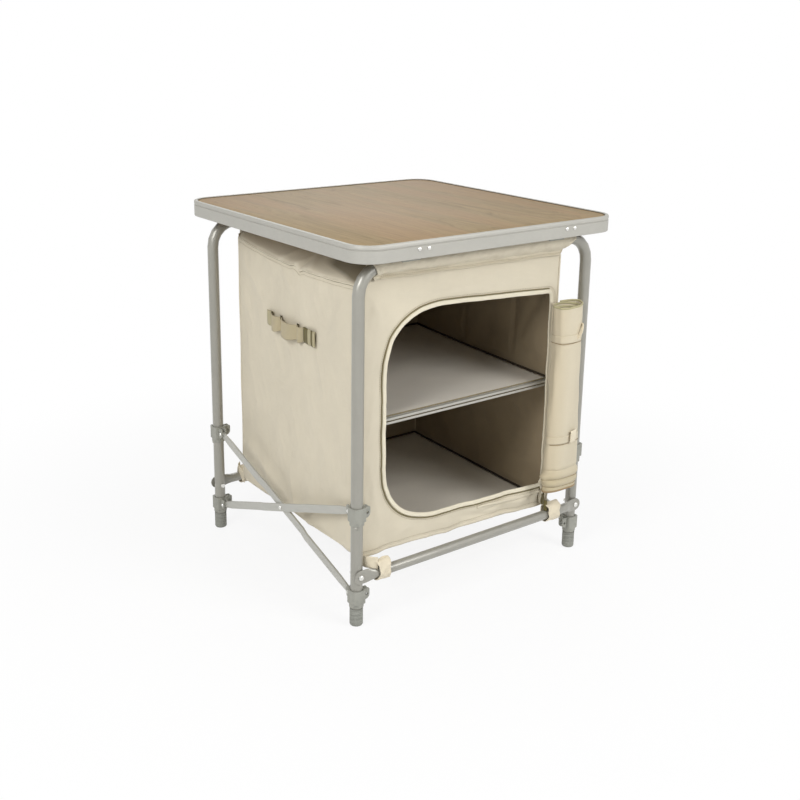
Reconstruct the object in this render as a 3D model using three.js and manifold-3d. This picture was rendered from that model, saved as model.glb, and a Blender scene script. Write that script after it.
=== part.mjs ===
// Folding camp table with a fabric cabinet between its two tube frames, in millimetres, +Z up.
// The origin is on the ground under the middle of the top. +X runs right along the front, +Y runs to the back.
// The two frames are the same assembly: the rear one is the front one turned half round about Z.

import * as THREE from "three";
import { mergeVertices } from "three/addons/utils/BufferGeometryUtils.js";
import Module from "manifold-3d";

const wasm = await Module();
wasm.setup();

// Fits and fineness
const seatGap = 0.3;
const runningGap = 0.45;
const cutOverrun = 2;
const weldDistance = 1e-4;
const tubeSides = 14;
const turnedSides = 16;
const smallSides = 8;
const holeSides = 10;

// Table top: a laminate board in an aluminium rim
const tableHeight = 700;
const topWidth = 600;
const topDepth = 600;
const topCornerRadius = 45;
const topCornerSteps = 6;
const boardThickness = 9;
const boardRebate = 1.2;
const rimHeight = 30;
const rimWall = 1.8;
const rimLipReach = 6.5;
const rimLipThickness = 1.5;
const rimEdgeRound = 1.4;
const rimGrooveTop = 6.5;
const rimGrooveHeight = 2.4;
const rimGrooveDepth = 1.1;
const rimLedgeReach = 13;
const rimFlangeReach = 9;

// Tube frames
const legInsetX = 30;
const legInsetY = 50;
const tubeDiameter = 22;
const tubeWall = 1.5;
const bendRadius = 48;
const bendSteps = 5;
const topTubeDrop = 45;
const stopDiameter = 7;
const stopRise = 2;

// Feet
const footDiameter = 24.6;
const footHeight = 34;
const footSole = 6;
const footEdgeRound = 3.5;
const footRibPitch = 8;
const footRibDepth = 0.7;
const footRibCount = 3;

// Moulded leg collars: fixed ones below, sliding ones above
const lowerPivotHeight = 57;
const upperPivotHeight = 216;
const collarWidth = 26;
const collarHeight = 26;
const collarCornerRadius = 4.5;
const skirtHeight = 7;
const skirtWall = 1.8;
const earReach = 25;
const earCheek = 3.1;
const earSlot = 5;
const earTopRound = 3;
const earFootRound = 9;
const earDrop = 10;
const earRise = 11;
const pivotOffset = 19;

// Scissor bars and their rivets
const barWidth = 15.5;
const barThickness = 4;
const barEndRadius = 5.4;
const barTaper = 34;
const crankInner = 72;
const crankLength = 18;
const barGap = 0.6;
const pinDiameter = 4.6;
const pinHeadDiameter = 8.6;
const pinHeadHeight = 1.7;
const pinHoleClearance = 0.35;

// Crossbars with pressed ends, bolted to the outside of the legs
const crossbarDiameter = 19;
const crossbarHeight = 98;
const crossbarWall = 1.2;
const pressedHeight = 27;
const pressedThickness = 3.2;
const pressedLength = 26;
const pressedTaper = 20;
const boltDiameter = 5;
const boltHeadDiameter = 11;
const boltHeadHeight = 2.8;
const nutWidth = 8;
const nutHeight = 4.5;

// Brackets under the top that sit over the two top tubes
const bracketInset = 128;
const bracketWidth = 38;
const bracketWall = 3;
const bracketGrip = 4;
const rivetSpacing = 20;
const rivetDiameter = 4;
const rivetHeadDiameter = 7.4;
const rivetHeadHeight = 1.5;
const rivetRise = 16.5;

// Fabric cabinet, hung from the top tubes and strapped to the crossbars
const cabinetSideClearance = 37;
const frontShift = -23.5;
const rearShift = 16;
const clothThickness = 2;
const wallSetback = 9;
const sleeveGap = 0.7;
const sleeveCloth = 1.5;
const sleeveInset = 45;
const sleeveOverhang = 15;
const sleeveTaper = 34;
const seamDrop = 24;
const sideSeamDrop = 9;
const roofRise = 1;
const roofSlope = 30;
const bottomFrontLeft = 124;
const bottomFrontRight = 110;
const bottomRear = 102;
const wallDraw = 4;
const wallSteps = 7;
const drapeGap = 0.6;

// Doorway in the front wall, measured in from the wall's edges
const doorLeftMargin = 53;
const doorRightMargin = 19;
const doorTopLeftMargin = 56;
const doorTopRightMargin = 69;
const doorFootLeftMargin = 44;
const doorFootRightMargin = 48;
const doorUpperCornerWidth = 128;
const doorUpperCornerHeight = 112;
const doorLowerCornerWidth = 135;
const doorLowerCornerHeight = 122;
const doorSmallCorner = 14;
const doorCornerPullShare = 0.66;
const bindingWidth = 8;
const bindingThickness = 2.6;
const outlineSteps = 8;

// Rolled-up door beside the doorway
const rollOffset = 11;
const rollTopMargin = 82;
const rollFootMargin = 52;
const rollTopHalfWidth = 36;
const rollFootHalfWidth = 45;
const rollHalfDepth = 21.5;
const rollFrontClearance = 2;
const rollLayer = 3;
const rollFlapThickness = 3;
const rollSides = 24;
const rollHeightShares = [0, 0.05, 0.14, 0.35, 0.7, 0.95, 1];
const rollSpreadShares = [0.8, 0.97, 1, 0.72, 0.12, 0, 0];
const tieHeight = 15;
const tieThickness = 1.6;
const tieInsets = [104, 70];

// Shelf, floor and carry handles
const shelfHeightShare = 0.502;
const shelfThickness = 6;
const shelfSag = 4;
const floorRise = 5;
const floorThickness = 4;
const railHeight = 11;
const railDepth = 7;
const railGroove = 2.4;
const railGrooveDepth = 1.4;
const handleLength = 190;
const handleWidth = 26;
const handleThickness = 2.4;
const handleDrop = 133;
const handleTab = 18;
const handleBow = 15;
const handleSwell = 0.6;
const handleSteps = 10;
const handleCentre = 14;

// Webbing loops from the walls' lower corners round the crossbars
const loopWidth = 25;
const loopThickness = 2;
const loopInset = 16;
const loopSides = 14;

// Values worked out from the sizes above
const tubeRadius = tubeDiameter / 2;
const halfSpacingX = topWidth / 2 - legInsetX;
const halfSpacingY = topDepth / 2 - legInsetY;
const topTubeHeight = tableHeight - topTubeDrop;
const bracketSpacing = topWidth - 2 * bracketInset;
const sideTopHeight = topTubeHeight - seamDrop - sideSeamDrop;
const cabinetWidth = 2 * (halfSpacingX - cabinetSideClearance);
const shelfHeight = mix(bottomFrontLeft, sideTopHeight, shelfHeightShare);
const handleHeight = sideTopHeight - handleDrop;
const rollTopHeight = sideTopHeight - rollTopMargin;
const rollFootHeight = bottomFrontRight + rollFootMargin;
const tieHeights = [rollFootHeight + tieInsets[0], rollTopHeight - tieInsets[1]];
const crossbarRadius = crossbarDiameter / 2;
const crossbarOffset = tubeRadius + seatGap + pressedThickness / 2;
const crossbarRoundEnd = halfSpacingX - pressedLength / 2 - pressedTaper;
const earWidth = earSlot + 2 * earCheek;
const sleeveInner = tubeRadius + sleeveGap;
const sleeveOuter = sleeveInner + sleeveCloth;
const wallFaceY = -halfSpacingY + wallSetback;
const wallBackY = wallFaceY + clothThickness;
const rimFootHeight = tableHeight - rimHeight;
const boardTop = tableHeight - rimLipThickness - seatGap;
const boardFoot = boardTop - boardThickness;

const materials = {
  board: new THREE.MeshStandardMaterial({ color: 0xb39c7d, roughness: 0.55, metalness: 0 }),
  aluminium: new THREE.MeshStandardMaterial({ color: 0xbdbfba, roughness: 0.38, metalness: 0.85 }),
  tube: new THREE.MeshStandardMaterial({ color: 0xa3a59a, roughness: 0.42, metalness: 0.35 }),
  bar: new THREE.MeshStandardMaterial({ color: 0xb2b4ad, roughness: 0.45, metalness: 0.4 }),
  plastic: new THREE.MeshStandardMaterial({ color: 0x9a9b94, roughness: 0.6, metalness: 0 }),
  steel: new THREE.MeshStandardMaterial({ color: 0xc9cac6, roughness: 0.3, metalness: 0.95 }),
  cloth: new THREE.MeshStandardMaterial({ color: 0xd4ccb9, roughness: 0.9, metalness: 0 }),
  lining: new THREE.MeshStandardMaterial({ color: 0x97928a, roughness: 0.8, metalness: 0 }),
  webbing: new THREE.MeshStandardMaterial({ color: 0xdccbab, roughness: 0.85, metalness: 0 }),
};

// A closed geometry as a solid
function solidOf(geometry) {
  const bare = geometry.clone();
  bare.deleteAttribute("normal");
  bare.deleteAttribute("uv");
  const merged = mergeVertices(bare, weldDistance);
  return new wasm.Manifold(
    new wasm.Mesh({
      numProp: 3,
      vertProperties: new Float32Array(merged.attributes.position.array),
      triVerts: new Uint32Array(merged.index.array),
    }),
  );
}

// A solid back as a geometry
function geometryOf(solid) {
  const mesh = solid.getMesh();
  const geometry = new THREE.BufferGeometry();
  geometry.setAttribute("position", new THREE.BufferAttribute(new Float32Array(mesh.vertProperties), 3));
  geometry.setIndex(new THREE.BufferAttribute(new Uint32Array(mesh.triVerts), 1));
  geometry.computeVertexNormals();
  return geometry;
}

// The first geometry with the others joined on and the cutters taken out
function carve(geometry, joined = [], cutters = []) {
  let solid = solidOf(geometry);
  for (const piece of joined) {
    solid = solid.add(solidOf(piece));
  }
  for (const cutter of cutters) {
    solid = solid.subtract(solidOf(cutter));
  }
  return geometryOf(solid);
}

// A shape pulled up into a solid that starts at the given height
function extrude(shape, height, from = 0, curveSegments = outlineSteps) {
  const geometry = new THREE.ExtrudeGeometry(shape, { depth: height, bevelEnabled: false, curveSegments });
  return geometry.translate(0, 0, from);
}

// A rectangle with round corners about the origin
function roundedRectangle(width, depth, radius) {
  const x = width / 2;
  const y = depth / 2;
  const shape = new THREE.Shape();
  shape.moveTo(x - radius, -y);
  shape.absarc(x - radius, -y + radius, radius, -Math.PI / 2, 0);
  shape.absarc(x - radius, y - radius, radius, 0, Math.PI / 2);
  shape.absarc(-x + radius, y - radius, radius, Math.PI / 2, Math.PI);
  shape.absarc(-x + radius, -y + radius, radius, Math.PI, 1.5 * Math.PI);
  return shape;
}

// A box between two corners
function boxBetween(low, high) {
  const size = new THREE.Vector3().subVectors(high, low);
  const centre = new THREE.Vector3().addVectors(low, high).multiplyScalar(0.5);
  return new THREE.BoxGeometry(size.x, size.y, size.z).translate(centre.x, centre.y, centre.z);
}

// A cylinder along X, Y or Z between two places on that axis
function cylinderAlong(axis, radius, from, to, sides = turnedSides) {
  const geometry = new THREE.CylinderGeometry(radius, radius, to - from, sides).translate(0, (from + to) / 2, 0);
  if (axis === "x") {
    geometry.rotateZ(-Math.PI / 2);
  }
  if (axis === "z") {
    geometry.rotateX(Math.PI / 2);
  }
  return geometry;
}

// A bore that stays clear of a round shaft, with its flats no nearer than the radius
function boreAlong(axis, radius, from, to, sides = turnedSides) {
  return cylinderAlong(axis, radius / Math.cos(Math.PI / sides), from, to, sides);
}

// A turned solid about Z from a profile of radius and height pairs
function turned(pairs, sides = turnedSides) {
  const points = pairs.map(([radius, height]) => new THREE.Vector2(radius, height));
  return new THREE.LatheGeometry(points, sides).rotateX(Math.PI / 2);
}

// A closed solid through equal loops of points, capped at both ends or joined end to end
function loft(loops, closed = false) {
  const count = loops[0].length;
  const positions = loops.flat().flatMap((point) => [point.x, point.y, point.z]);
  const index = [];
  const last = closed ? loops.length : loops.length - 1;
  for (let i = 0; i < last; i += 1) {
    const here = i * count;
    const next = ((i + 1) % loops.length) * count;
    for (let j = 0; j < count; j += 1) {
      const k = (j + 1) % count;
      index.push(here + j, here + k, next + k, here + j, next + k, next + j);
    }
  }
  if (!closed) {
    for (let j = 1; j < count - 1; j += 1) {
      const end = (loops.length - 1) * count;
      index.push(0, j + 1, j, end, end + j, end + j + 1);
    }
  }
  const geometry = new THREE.BufferGeometry();
  geometry.setAttribute("position", new THREE.BufferAttribute(new Float32Array(positions), 3));
  geometry.setIndex(index);
  return outward(geometry);
}

// The same geometry with its faces turned to point out
function outward(geometry) {
  if (solidOf(geometry).volume() < 0) {
    const index = geometry.getIndex().array;
    for (let i = 0; i < index.length; i += 3) {
      [index[i + 1], index[i + 2]] = [index[i + 2], index[i + 1]];
    }
  }
  geometry.computeVertexNormals();
  return geometry;
}

// A sheet of cloth: rows of points for its front face and for its back face, closed round the edge
function sheet(rows, thicknessVector) {
  const loops = rows.map((row) => {
    const back = row.map((point) => point.clone().add(thicknessVector)).reverse();
    return [...row, ...back];
  });
  const width = rows[0].length;
  const count = 2 * width;
  const positions = loops.flat().flatMap((point) => [point.x, point.y, point.z]);
  const index = [];
  for (let i = 0; i < loops.length - 1; i += 1) {
    for (let j = 0; j < count; j += 1) {
      const k = (j + 1) % count;
      const here = i * count;
      const next = here + count;
      index.push(here + j, here + k, next + k, here + j, next + k, next + j);
    }
  }
  const end = (loops.length - 1) * count;
  for (let j = 0; j < width - 1; j += 1) {
    const front = j;
    const back = count - 1 - j;
    index.push(front, back, back - 1, front, back - 1, front + 1);
    index.push(end + front, end + back - 1, end + back, end + front, end + front + 1, end + back - 1);
  }
  const geometry = new THREE.BufferGeometry();
  geometry.setAttribute("position", new THREE.BufferAttribute(new Float32Array(positions), 3));
  geometry.setIndex(index);
  return outward(geometry);
}

// Numbers from 0 to 1 in equal steps, both ends included
function shares(steps) {
  return Array.from({ length: steps + 1 }, (_, i) => i / steps);
}

function mix(from, to, share) {
  return from + (to - from) * share;
}

// The path of an upturned U of tube, stepped only where it bends
class FramePath extends THREE.Curve {
  constructor() {
    super();
    const right = halfSpacingX - bendRadius;
    const bendFoot = topTubeHeight - bendRadius;
    const arc = (centreX, turn) => new THREE.Vector2(
      centreX - bendRadius * Math.cos(turn),
      bendFoot + bendRadius * Math.sin(turn),
    );
    this.stations = [new THREE.Vector2(-halfSpacingX, footSole + seatGap)];
    for (const share of shares(bendSteps)) {
      this.stations.push(arc(-right, (share * Math.PI) / 2));
    }
    for (const share of shares(bendSteps)) {
      this.stations.push(arc(right, ((1 + share) * Math.PI) / 2));
    }
    this.stations.push(new THREE.Vector2(halfSpacingX, footSole + seatGap));
  }

  get steps() {
    return this.stations.length - 1;
  }

  getPoint(share, target = new THREE.Vector3()) {
    const place = Math.min(share * this.steps, this.steps);
    const i = Math.min(Math.floor(place), this.steps - 1);
    const point = this.stations[i].clone().lerp(this.stations[i + 1], place - i);
    return target.set(point.x, -halfSpacingY, point.y);
  }

  getPointAt(share, target) {
    return this.getPoint(share, target);
  }

  getTangentAt(share, target = new THREE.Vector3()) {
    const i = Math.round(share * this.steps);
    const before = this.stations[Math.max(i - 1, 0)];
    const after = this.stations[Math.min(i + 1, this.steps)];
    const here = this.stations[i];
    const lead = here.clone().sub(before).normalize();
    const trail = after.clone().sub(here).normalize();
    const sum = lead.add(trail).normalize();
    return target.set(sum.x, 0, sum.y);
  }
}

// Where the four legs stand: the sign of X and the turn of the frame that carries them
const legs = [
  { name: "front_left", frame: "front", side: -1 },
  { name: "front_right", frame: "front", side: 1 },
  { name: "rear_right", frame: "rear", side: -1 },
  { name: "rear_left", frame: "rear", side: 1 },
];

function circlePoints(radiusX, radiusY, sides) {
  return Array.from({ length: sides }, (_, i) => {
    const turn = (2 * Math.PI * i) / sides;
    return new THREE.Vector2(radiusX * Math.cos(turn), radiusY * Math.sin(turn));
  });
}

// Frame tube with its bolt holes and the pressed stops that the sliders come down on
function frameTube() {
  const path = new FramePath();
  const ring = new THREE.Shape(circlePoints(tubeRadius, tubeRadius, tubeSides));
  ring.holes.push(new THREE.Path(circlePoints(tubeRadius - tubeWall, tubeRadius - tubeWall, tubeSides)));
  const tube = new THREE.ExtrudeGeometry(ring, {
    steps: path.steps,
    extrudePath: path,
    bevelEnabled: false,
  });
  const stops = [];
  const holes = [];
  for (const side of [-1, 1]) {
    stops.push(legStop(side));
    const hole = boreAlong(
      "y",
      boltDiameter / 2 + pinHoleClearance,
      -tubeRadius - cutOverrun,
      tubeRadius + cutOverrun,
      holeSides,
    );
    holes.push(hole.translate(side * halfSpacingX, -halfSpacingY, crossbarHeight));
  }
  return carve(tube, stops, holes);
}

// A dome pressed out of the leg just below the slider, facing outwards
function legStop(side) {
  const height = upperPivotHeight - collarHeight / 2 - skirtHeight - seatGap - stopDiameter / 2;
  const root = tubeRadius - tubeWall / 2;
  const crown = tubeRadius + stopRise - root;
  const stop = turned(
    [[0, 0], [stopDiameter / 2, 0], [stopDiameter / 2, crown / 2], [stopDiameter / 4, crown], [0, crown]],
    smallSides,
  );
  stop.rotateX(Math.PI / 2).translate(0, -root, 0).rotateZ((side * Math.PI) / 4);
  return stop.translate(side * halfSpacingX, -halfSpacingY, height);
}

// Ribbed cap that the leg stands in
function foot() {
  const radius = footDiameter / 2;
  const bore = (tubeRadius + seatGap) / Math.cos(Math.PI / turnedSides);
  const pairs = [[0, 0], [radius - footEdgeRound, 0], [radius - footEdgeRound / 3, footEdgeRound / 3]];
  pairs.push([radius, footEdgeRound]);
  for (let i = 0; i < footRibCount; i += 1) {
    const height = footSole + (i + 1) * footRibPitch;
    pairs.push([radius, height - footRibDepth], [radius - footRibDepth, height], [radius, height + footRibDepth]);
  }
  pairs.push([radius, footHeight], [bore, footHeight]);
  pairs.push([bore, footSole], [0, footSole]);
  return turned(pairs);
}

// One ear of a collar, pointing along +Y, before its slot is cut
function collarEar() {
  const shape = new THREE.Shape();
  shape.moveTo(0, -earDrop);
  shape.lineTo(earReach - earFootRound, -earDrop);
  shape.absarc(earReach - earFootRound, -earDrop + earFootRound, earFootRound, -Math.PI / 2, 0);
  shape.lineTo(earReach, earRise - earTopRound);
  shape.absarc(earReach - earTopRound, earRise - earTopRound, earTopRound, 0, Math.PI / 2);
  shape.lineTo(0, earRise);
  const ear = extrude(shape, earWidth, -earWidth / 2, outlineSteps / 4);
  return ear.rotateX(Math.PI / 2).rotateZ(Math.PI / 2);
}

// Moulded collar with two forked ears at a right angle: one towards +Y for the scissor, one towards +X
function collar() {
  const top = collarHeight / 2;
  const block = extrude(roundedRectangle(collarWidth, collarWidth, collarCornerRadius), collarHeight, -top, 1);
  const skirtRadius = tubeRadius + runningGap + skirtWall;
  const skirt = cylinderAlong("z", skirtRadius, -top - skirtHeight, -top + cutOverrun);
  const joined = [skirt];
  const cutters = [boreAlong("z", tubeRadius + runningGap, -collarHeight, collarHeight)];
  for (const turn of [0, -Math.PI / 2]) {
    joined.push(collarEar().rotateZ(turn));
    const slot = boxBetween(
      new THREE.Vector3(-earSlot / 2, collarWidth / 2, -collarHeight),
      new THREE.Vector3(earSlot / 2, earReach + cutOverrun, collarHeight),
    );
    cutters.push(slot.rotateZ(turn));
    const hole = boreAlong("x", pinDiameter / 2 + pinHoleClearance, -earWidth, earWidth, holeSides);
    cutters.push(hole.translate(0, pivotOffset, 0).rotateZ(turn));
  }
  return carve(block, joined, cutters);
}

// Rivet along X through a length of grip, with a low dome at each end
function rivetAlongX(diameter, headDiameter, headHeight, grip) {
  const half = grip / 2;
  const pairs = [[0, -half - headHeight], [headDiameter / 3, -half - headHeight], [headDiameter / 2, -half]];
  pairs.push([diameter / 2, -half], [diameter / 2, half], [headDiameter / 2, half]);
  pairs.push([headDiameter / 3, half + headHeight], [0, half + headHeight]);
  return turned(pairs, smallSides).rotateY(Math.PI / 2);
}

const armLength = Math.hypot(2 * (halfSpacingY - pivotOffset), upperPivotHeight - lowerPivotHeight);

// Flat scissor bar along X, cranked to one side at the middle so that two can cross
function scissorBar() {
  const half = armLength / 2;
  const shift = (barThickness + barGap) / 2;
  const line = [[-half, 0], [-crankInner - crankLength, 0], [-crankInner, shift], [crankInner, shift]];
  line.push([crankInner + crankLength, 0], [half, 0]);
  const ends = line.map(([along, aside], i) => {
    const overrun = barEndRadius + cutOverrun;
    const stretch = (i === 0 ? -overrun : 0) + (i === line.length - 1 ? overrun : 0);
    return [along + stretch, aside];
  });
  const near = ends.map(([along, aside]) => new THREE.Vector2(along, aside - barThickness / 2));
  const far = ends.map(([along, aside]) => new THREE.Vector2(along, aside + barThickness / 2)).reverse();
  const slab = extrude(new THREE.Shape([...near, ...far]), barWidth, -barWidth / 2);
  const outline = new THREE.Shape();
  outline.absarc(half, 0, barEndRadius, -Math.PI / 2, Math.PI / 2);
  outline.lineTo(half - barTaper, barWidth / 2);
  outline.lineTo(-half + barTaper, barWidth / 2);
  outline.absarc(-half, 0, barEndRadius, Math.PI / 2, 1.5 * Math.PI);
  outline.lineTo(-half + barTaper, -barWidth / 2);
  outline.lineTo(half - barTaper, -barWidth / 2);
  const blank = extrude(outline, 2 * barWidth, -barWidth, outlineSteps / 2).rotateX(Math.PI / 2);
  const holes = [-half, 0, half].map((along) => {
    const hole = boreAlong("y", pinDiameter / 2 + pinHoleClearance, -barWidth, barWidth, holeSides);
    return hole.translate(along, 0, 0);
  });
  return carve(geometryOf(solidOf(slab).intersect(solidOf(blank))), [], holes);
}

// Loop of points round a flattened circle in the YZ plane
function ovalLoop(x, halfDepth, halfHeight) {
  return circlePoints(halfDepth, halfHeight, tubeSides).map((point) => new THREE.Vector3(x, point.x, point.y));
}

// Round crossbar whose ends are pressed flat, hollow right through
function crossbar() {
  const half = halfSpacingX + pressedLength / 2;
  const flatFrom = half - pressedLength;
  const roundTo = crossbarRoundEnd;
  const places = [-half, -flatFrom, -(flatFrom + roundTo) / 2, -roundTo, roundTo];
  places.push((flatFrom + roundTo) / 2, flatFrom, half);
  const pressShares = [1, 1, 0.5, 0, 0, 0.5, 1, 1];
  const loops = (inset, overrun) => places.map((place, i) => {
    const depth = mix(crossbarRadius, pressedThickness / 2, pressShares[i]) - inset;
    const height = mix(crossbarRadius, pressedHeight / 2, pressShares[i]) - inset;
    const stretch = Math.abs(place) === half ? Math.sign(place) * overrun : 0;
    return ovalLoop(place + stretch, depth, height);
  });
  const skin = loft(loops(0, 0));
  const bore = loft(loops(crossbarWall, cutOverrun));
  const rounded = new THREE.Shape();
  const corner = pressedHeight / 2;
  rounded.absarc(half - corner, 0, corner, -Math.PI / 2, Math.PI / 2);
  rounded.absarc(-half + corner, 0, corner, Math.PI / 2, 1.5 * Math.PI);
  const blank = extrude(rounded, 2 * pressedHeight, -pressedHeight, outlineSteps / 2).rotateX(Math.PI / 2);
  const holes = [-halfSpacingX, halfSpacingX].map((x) => {
    const hole = boreAlong("y", boltDiameter / 2 + pinHoleClearance, -crossbarRadius, crossbarRadius, holeSides);
    return hole.translate(x, 0, 0);
  });
  return carve(geometryOf(solidOf(skin).intersect(solidOf(blank))), [], [bore, ...holes]);
}

// Bolt along Y through the pressed end and the leg, with a dome head outside and its nut inside
function crossbarBolt() {
  const head = -tubeRadius - seatGap - pressedThickness - seatGap;
  const nut = tubeRadius + seatGap;
  const pairs = [[0, head - boltHeadHeight], [boltHeadDiameter / 3, head - boltHeadHeight]];
  pairs.push([boltHeadDiameter / 2, head - boltHeadHeight / 3], [boltHeadDiameter / 2, head]);
  pairs.push([boltDiameter / 2, head], [boltDiameter / 2, nut + nutHeight], [0, nut + nutHeight]);
  const shank = turned(pairs, smallSides);
  const hexagon = cylinderAlong("z", nutWidth / Math.sqrt(3), nut, nut + nutHeight - seatGap, 6);
  return carve(shank, [hexagon]).rotateX(-Math.PI / 2);
}

// Section of the rim: distance in from the outer face, and height above the rim's foot
function rimSection() {
  const ledge = boardFoot - seatGap - rimFootHeight;
  const slotTop = rimHeight - rimLipThickness;
  const grooveTop = rimHeight - rimGrooveTop;
  const grooveFoot = grooveTop - rimGrooveHeight;
  return [
    [rimEdgeRound / 2, 0],
    [0, rimEdgeRound / 2],
    [0, grooveFoot],
    [rimGrooveDepth, grooveFoot + rimGrooveDepth / 2],
    [rimGrooveDepth, grooveTop - rimGrooveDepth / 2],
    [0, grooveTop],
    [0, rimHeight - rimEdgeRound],
    [rimEdgeRound / 3, rimHeight - rimEdgeRound / 3],
    [rimEdgeRound, rimHeight],
    [rimLipReach, rimHeight],
    [rimLipReach, slotTop],
    [rimWall + rimGrooveDepth, slotTop],
    [rimWall + rimGrooveDepth, ledge],
    [rimLedgeReach, ledge],
    [rimLedgeReach, ledge - rimWall],
    [rimWall, ledge - rimWall],
    [rimWall, rimWall],
    [rimFlangeReach, rimWall],
    [rimFlangeReach, 0],
  ];
}

// The rim: its section carried once round the top's rounded outline
function tableRim() {
  const section = rimSection();
  const corners = [[1, 1], [-1, 1], [-1, -1], [1, -1]];
  const loops = corners.flatMap(([signX, signY], corner) => shares(topCornerSteps).map((share) => {
    const turn = ((corner + share) * Math.PI) / 2;
    const centreX = signX * (topWidth / 2 - topCornerRadius);
    const centreY = signY * (topDepth / 2 - topCornerRadius);
    return section.map(([inward, height]) => new THREE.Vector3(
      centreX + (topCornerRadius - inward) * Math.cos(turn),
      centreY + (topCornerRadius - inward) * Math.sin(turn),
      rimFootHeight + height,
    ));
  }));
  const holes = [];
  for (const [x, end] of rivetPlaces()) {
    const hole = boreAlong("y", rivetDiameter / 2 + pinHoleClearance, -cutOverrun, rimFlangeReach, holeSides);
    hole.translate(x, -topDepth / 2, rimFootHeight + rivetRise);
    holes.push(hole.rotateZ(end));
  }
  return carve(loft(loops, true), [], holes);
}

// X of each rivet on the front edge, and the half turn that takes it to the rear edge
function rivetPlaces() {
  const places = [];
  for (const end of [0, Math.PI]) {
    for (const side of [-1, 1]) {
      for (const half of [-1, 1]) {
        places.push([(side * bracketSpacing + half * rivetSpacing) / 2, end]);
      }
    }
  }
  return places;
}

// The board: its edge is rebated, so that the rim's lip covers only the tongue
function tableBoard() {
  const slab = (inset, thickness) => {
    const outline = roundedRectangle(topWidth - 2 * inset, topDepth - 2 * inset, topCornerRadius - inset);
    return extrude(outline, thickness, boardFoot, topCornerSteps / 2);
  };
  const tongue = slab(rimWall + rimGrooveDepth + seatGap, boardThickness - boardRebate);
  return carve(tongue, [slab(rimLipReach + seatGap, boardThickness)]);
}

// Bracket on the front edge: a web from the rim back over the top tube, open below and towards the middle,
// with the two rivets that hold it to the rim
function bracket() {
  const face = -topDepth / 2 + rimLedgeReach + seatGap;
  const seat = -topDepth / 2 + rimWall + seatGap;
  const crown = boardFoot - seatGap;
  const foot = rimFootHeight + rimWall + seatGap;
  const ledgeFoot = crown - 2 * rimWall;
  const saddle = sleeveOuter + seatGap;
  const shape = new THREE.Shape();
  shape.moveTo(seat, foot);
  shape.lineTo(seat, ledgeFoot);
  shape.lineTo(face, ledgeFoot);
  shape.lineTo(face, crown);
  shape.lineTo(-halfSpacingY + saddle, crown);
  shape.lineTo(-halfSpacingY + saddle, topTubeHeight + saddle);
  shape.absarc(-halfSpacingY, topTubeHeight, saddle, Math.PI / 2, Math.PI - Math.asin(bracketGrip / saddle));
  shape.lineTo(-halfSpacingY - saddle - bracketWall, topTubeHeight + bracketGrip);
  shape.lineTo(-halfSpacingY - saddle - bracketWall, foot);
  const web = extrude(shape, bracketWidth, -bracketWidth / 2).rotateX(Math.PI / 2).rotateZ(Math.PI / 2);
  const rivets = [-1, 1].map((half) => {
    const pairs = [[0, -rivetHeadHeight - seatGap], [rivetHeadDiameter / 4, -rivetHeadHeight - seatGap]];
    pairs.push([rivetHeadDiameter / 2, -seatGap], [rivetDiameter / 2, -seatGap]);
    pairs.push([rivetDiameter / 2, rimFlangeReach], [0, rimFlangeReach]);
    const rivet = turned(pairs, smallSides).rotateX(-Math.PI / 2);
    return rivet.translate((half * rivetSpacing) / 2, -topDepth / 2, rimFootHeight + rivetRise);
  });
  return carve(web, rivets);
}

// The sleeve's section in YZ: a loop of cloth over the top tube, drawn together at the seam below
function sleeveShape(radius, nearY, farY, foot) {
  const tangent = (y, side) => {
    const toSeam = new THREE.Vector2(y + halfSpacingY, foot - topTubeHeight);
    return toSeam.angle() - 2 * Math.PI + side * Math.acos(radius / toSeam.length());
  };
  const shape = new THREE.Shape();
  shape.absarc(-halfSpacingY, topTubeHeight, radius, tangent(nearY, 1), tangent(farY, -1) + 2 * Math.PI);
  shape.lineTo(farY, foot);
  if (nearY !== farY) {
    shape.lineTo(nearY, foot);
  }
  return shape;
}

// Front or rear sleeve, in the front frame's place, cut away under its ends
function sleeve(from, to) {
  const seam = topTubeHeight - seamDrop;
  const outer = sleeveShape(sleeveOuter, wallBackY, wallFaceY, seam);
  const middle = wallBackY - clothThickness / 2;
  const inner = sleeveShape(sleeveInner, middle, middle, seam + 3 * sleeveCloth);
  outer.holes.push(inner);
  const body = extrude(outer, to - from, from, outlineSteps).rotateX(Math.PI / 2).rotateZ(Math.PI / 2);
  const wedge = new THREE.Shape();
  wedge.moveTo(to - sleeveTaper, seam - cutOverrun);
  wedge.lineTo(to + cutOverrun, seam - cutOverrun);
  wedge.lineTo(to + cutOverrun, topTubeHeight);
  const cut = extrude(wedge, 4 * sleeveOuter, halfSpacingY - 2 * sleeveOuter).rotateX(Math.PI / 2);
  return [body, cut];
}

// Where the walls run: the left edge of the front wall and of the rear wall
const frontLeft = frontShift - cabinetWidth / 2;
const frontRight = frontShift + cabinetWidth / 2;
const rearLeft = rearShift - cabinetWidth / 2;
const rearRight = rearShift + cabinetWidth / 2;

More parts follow.
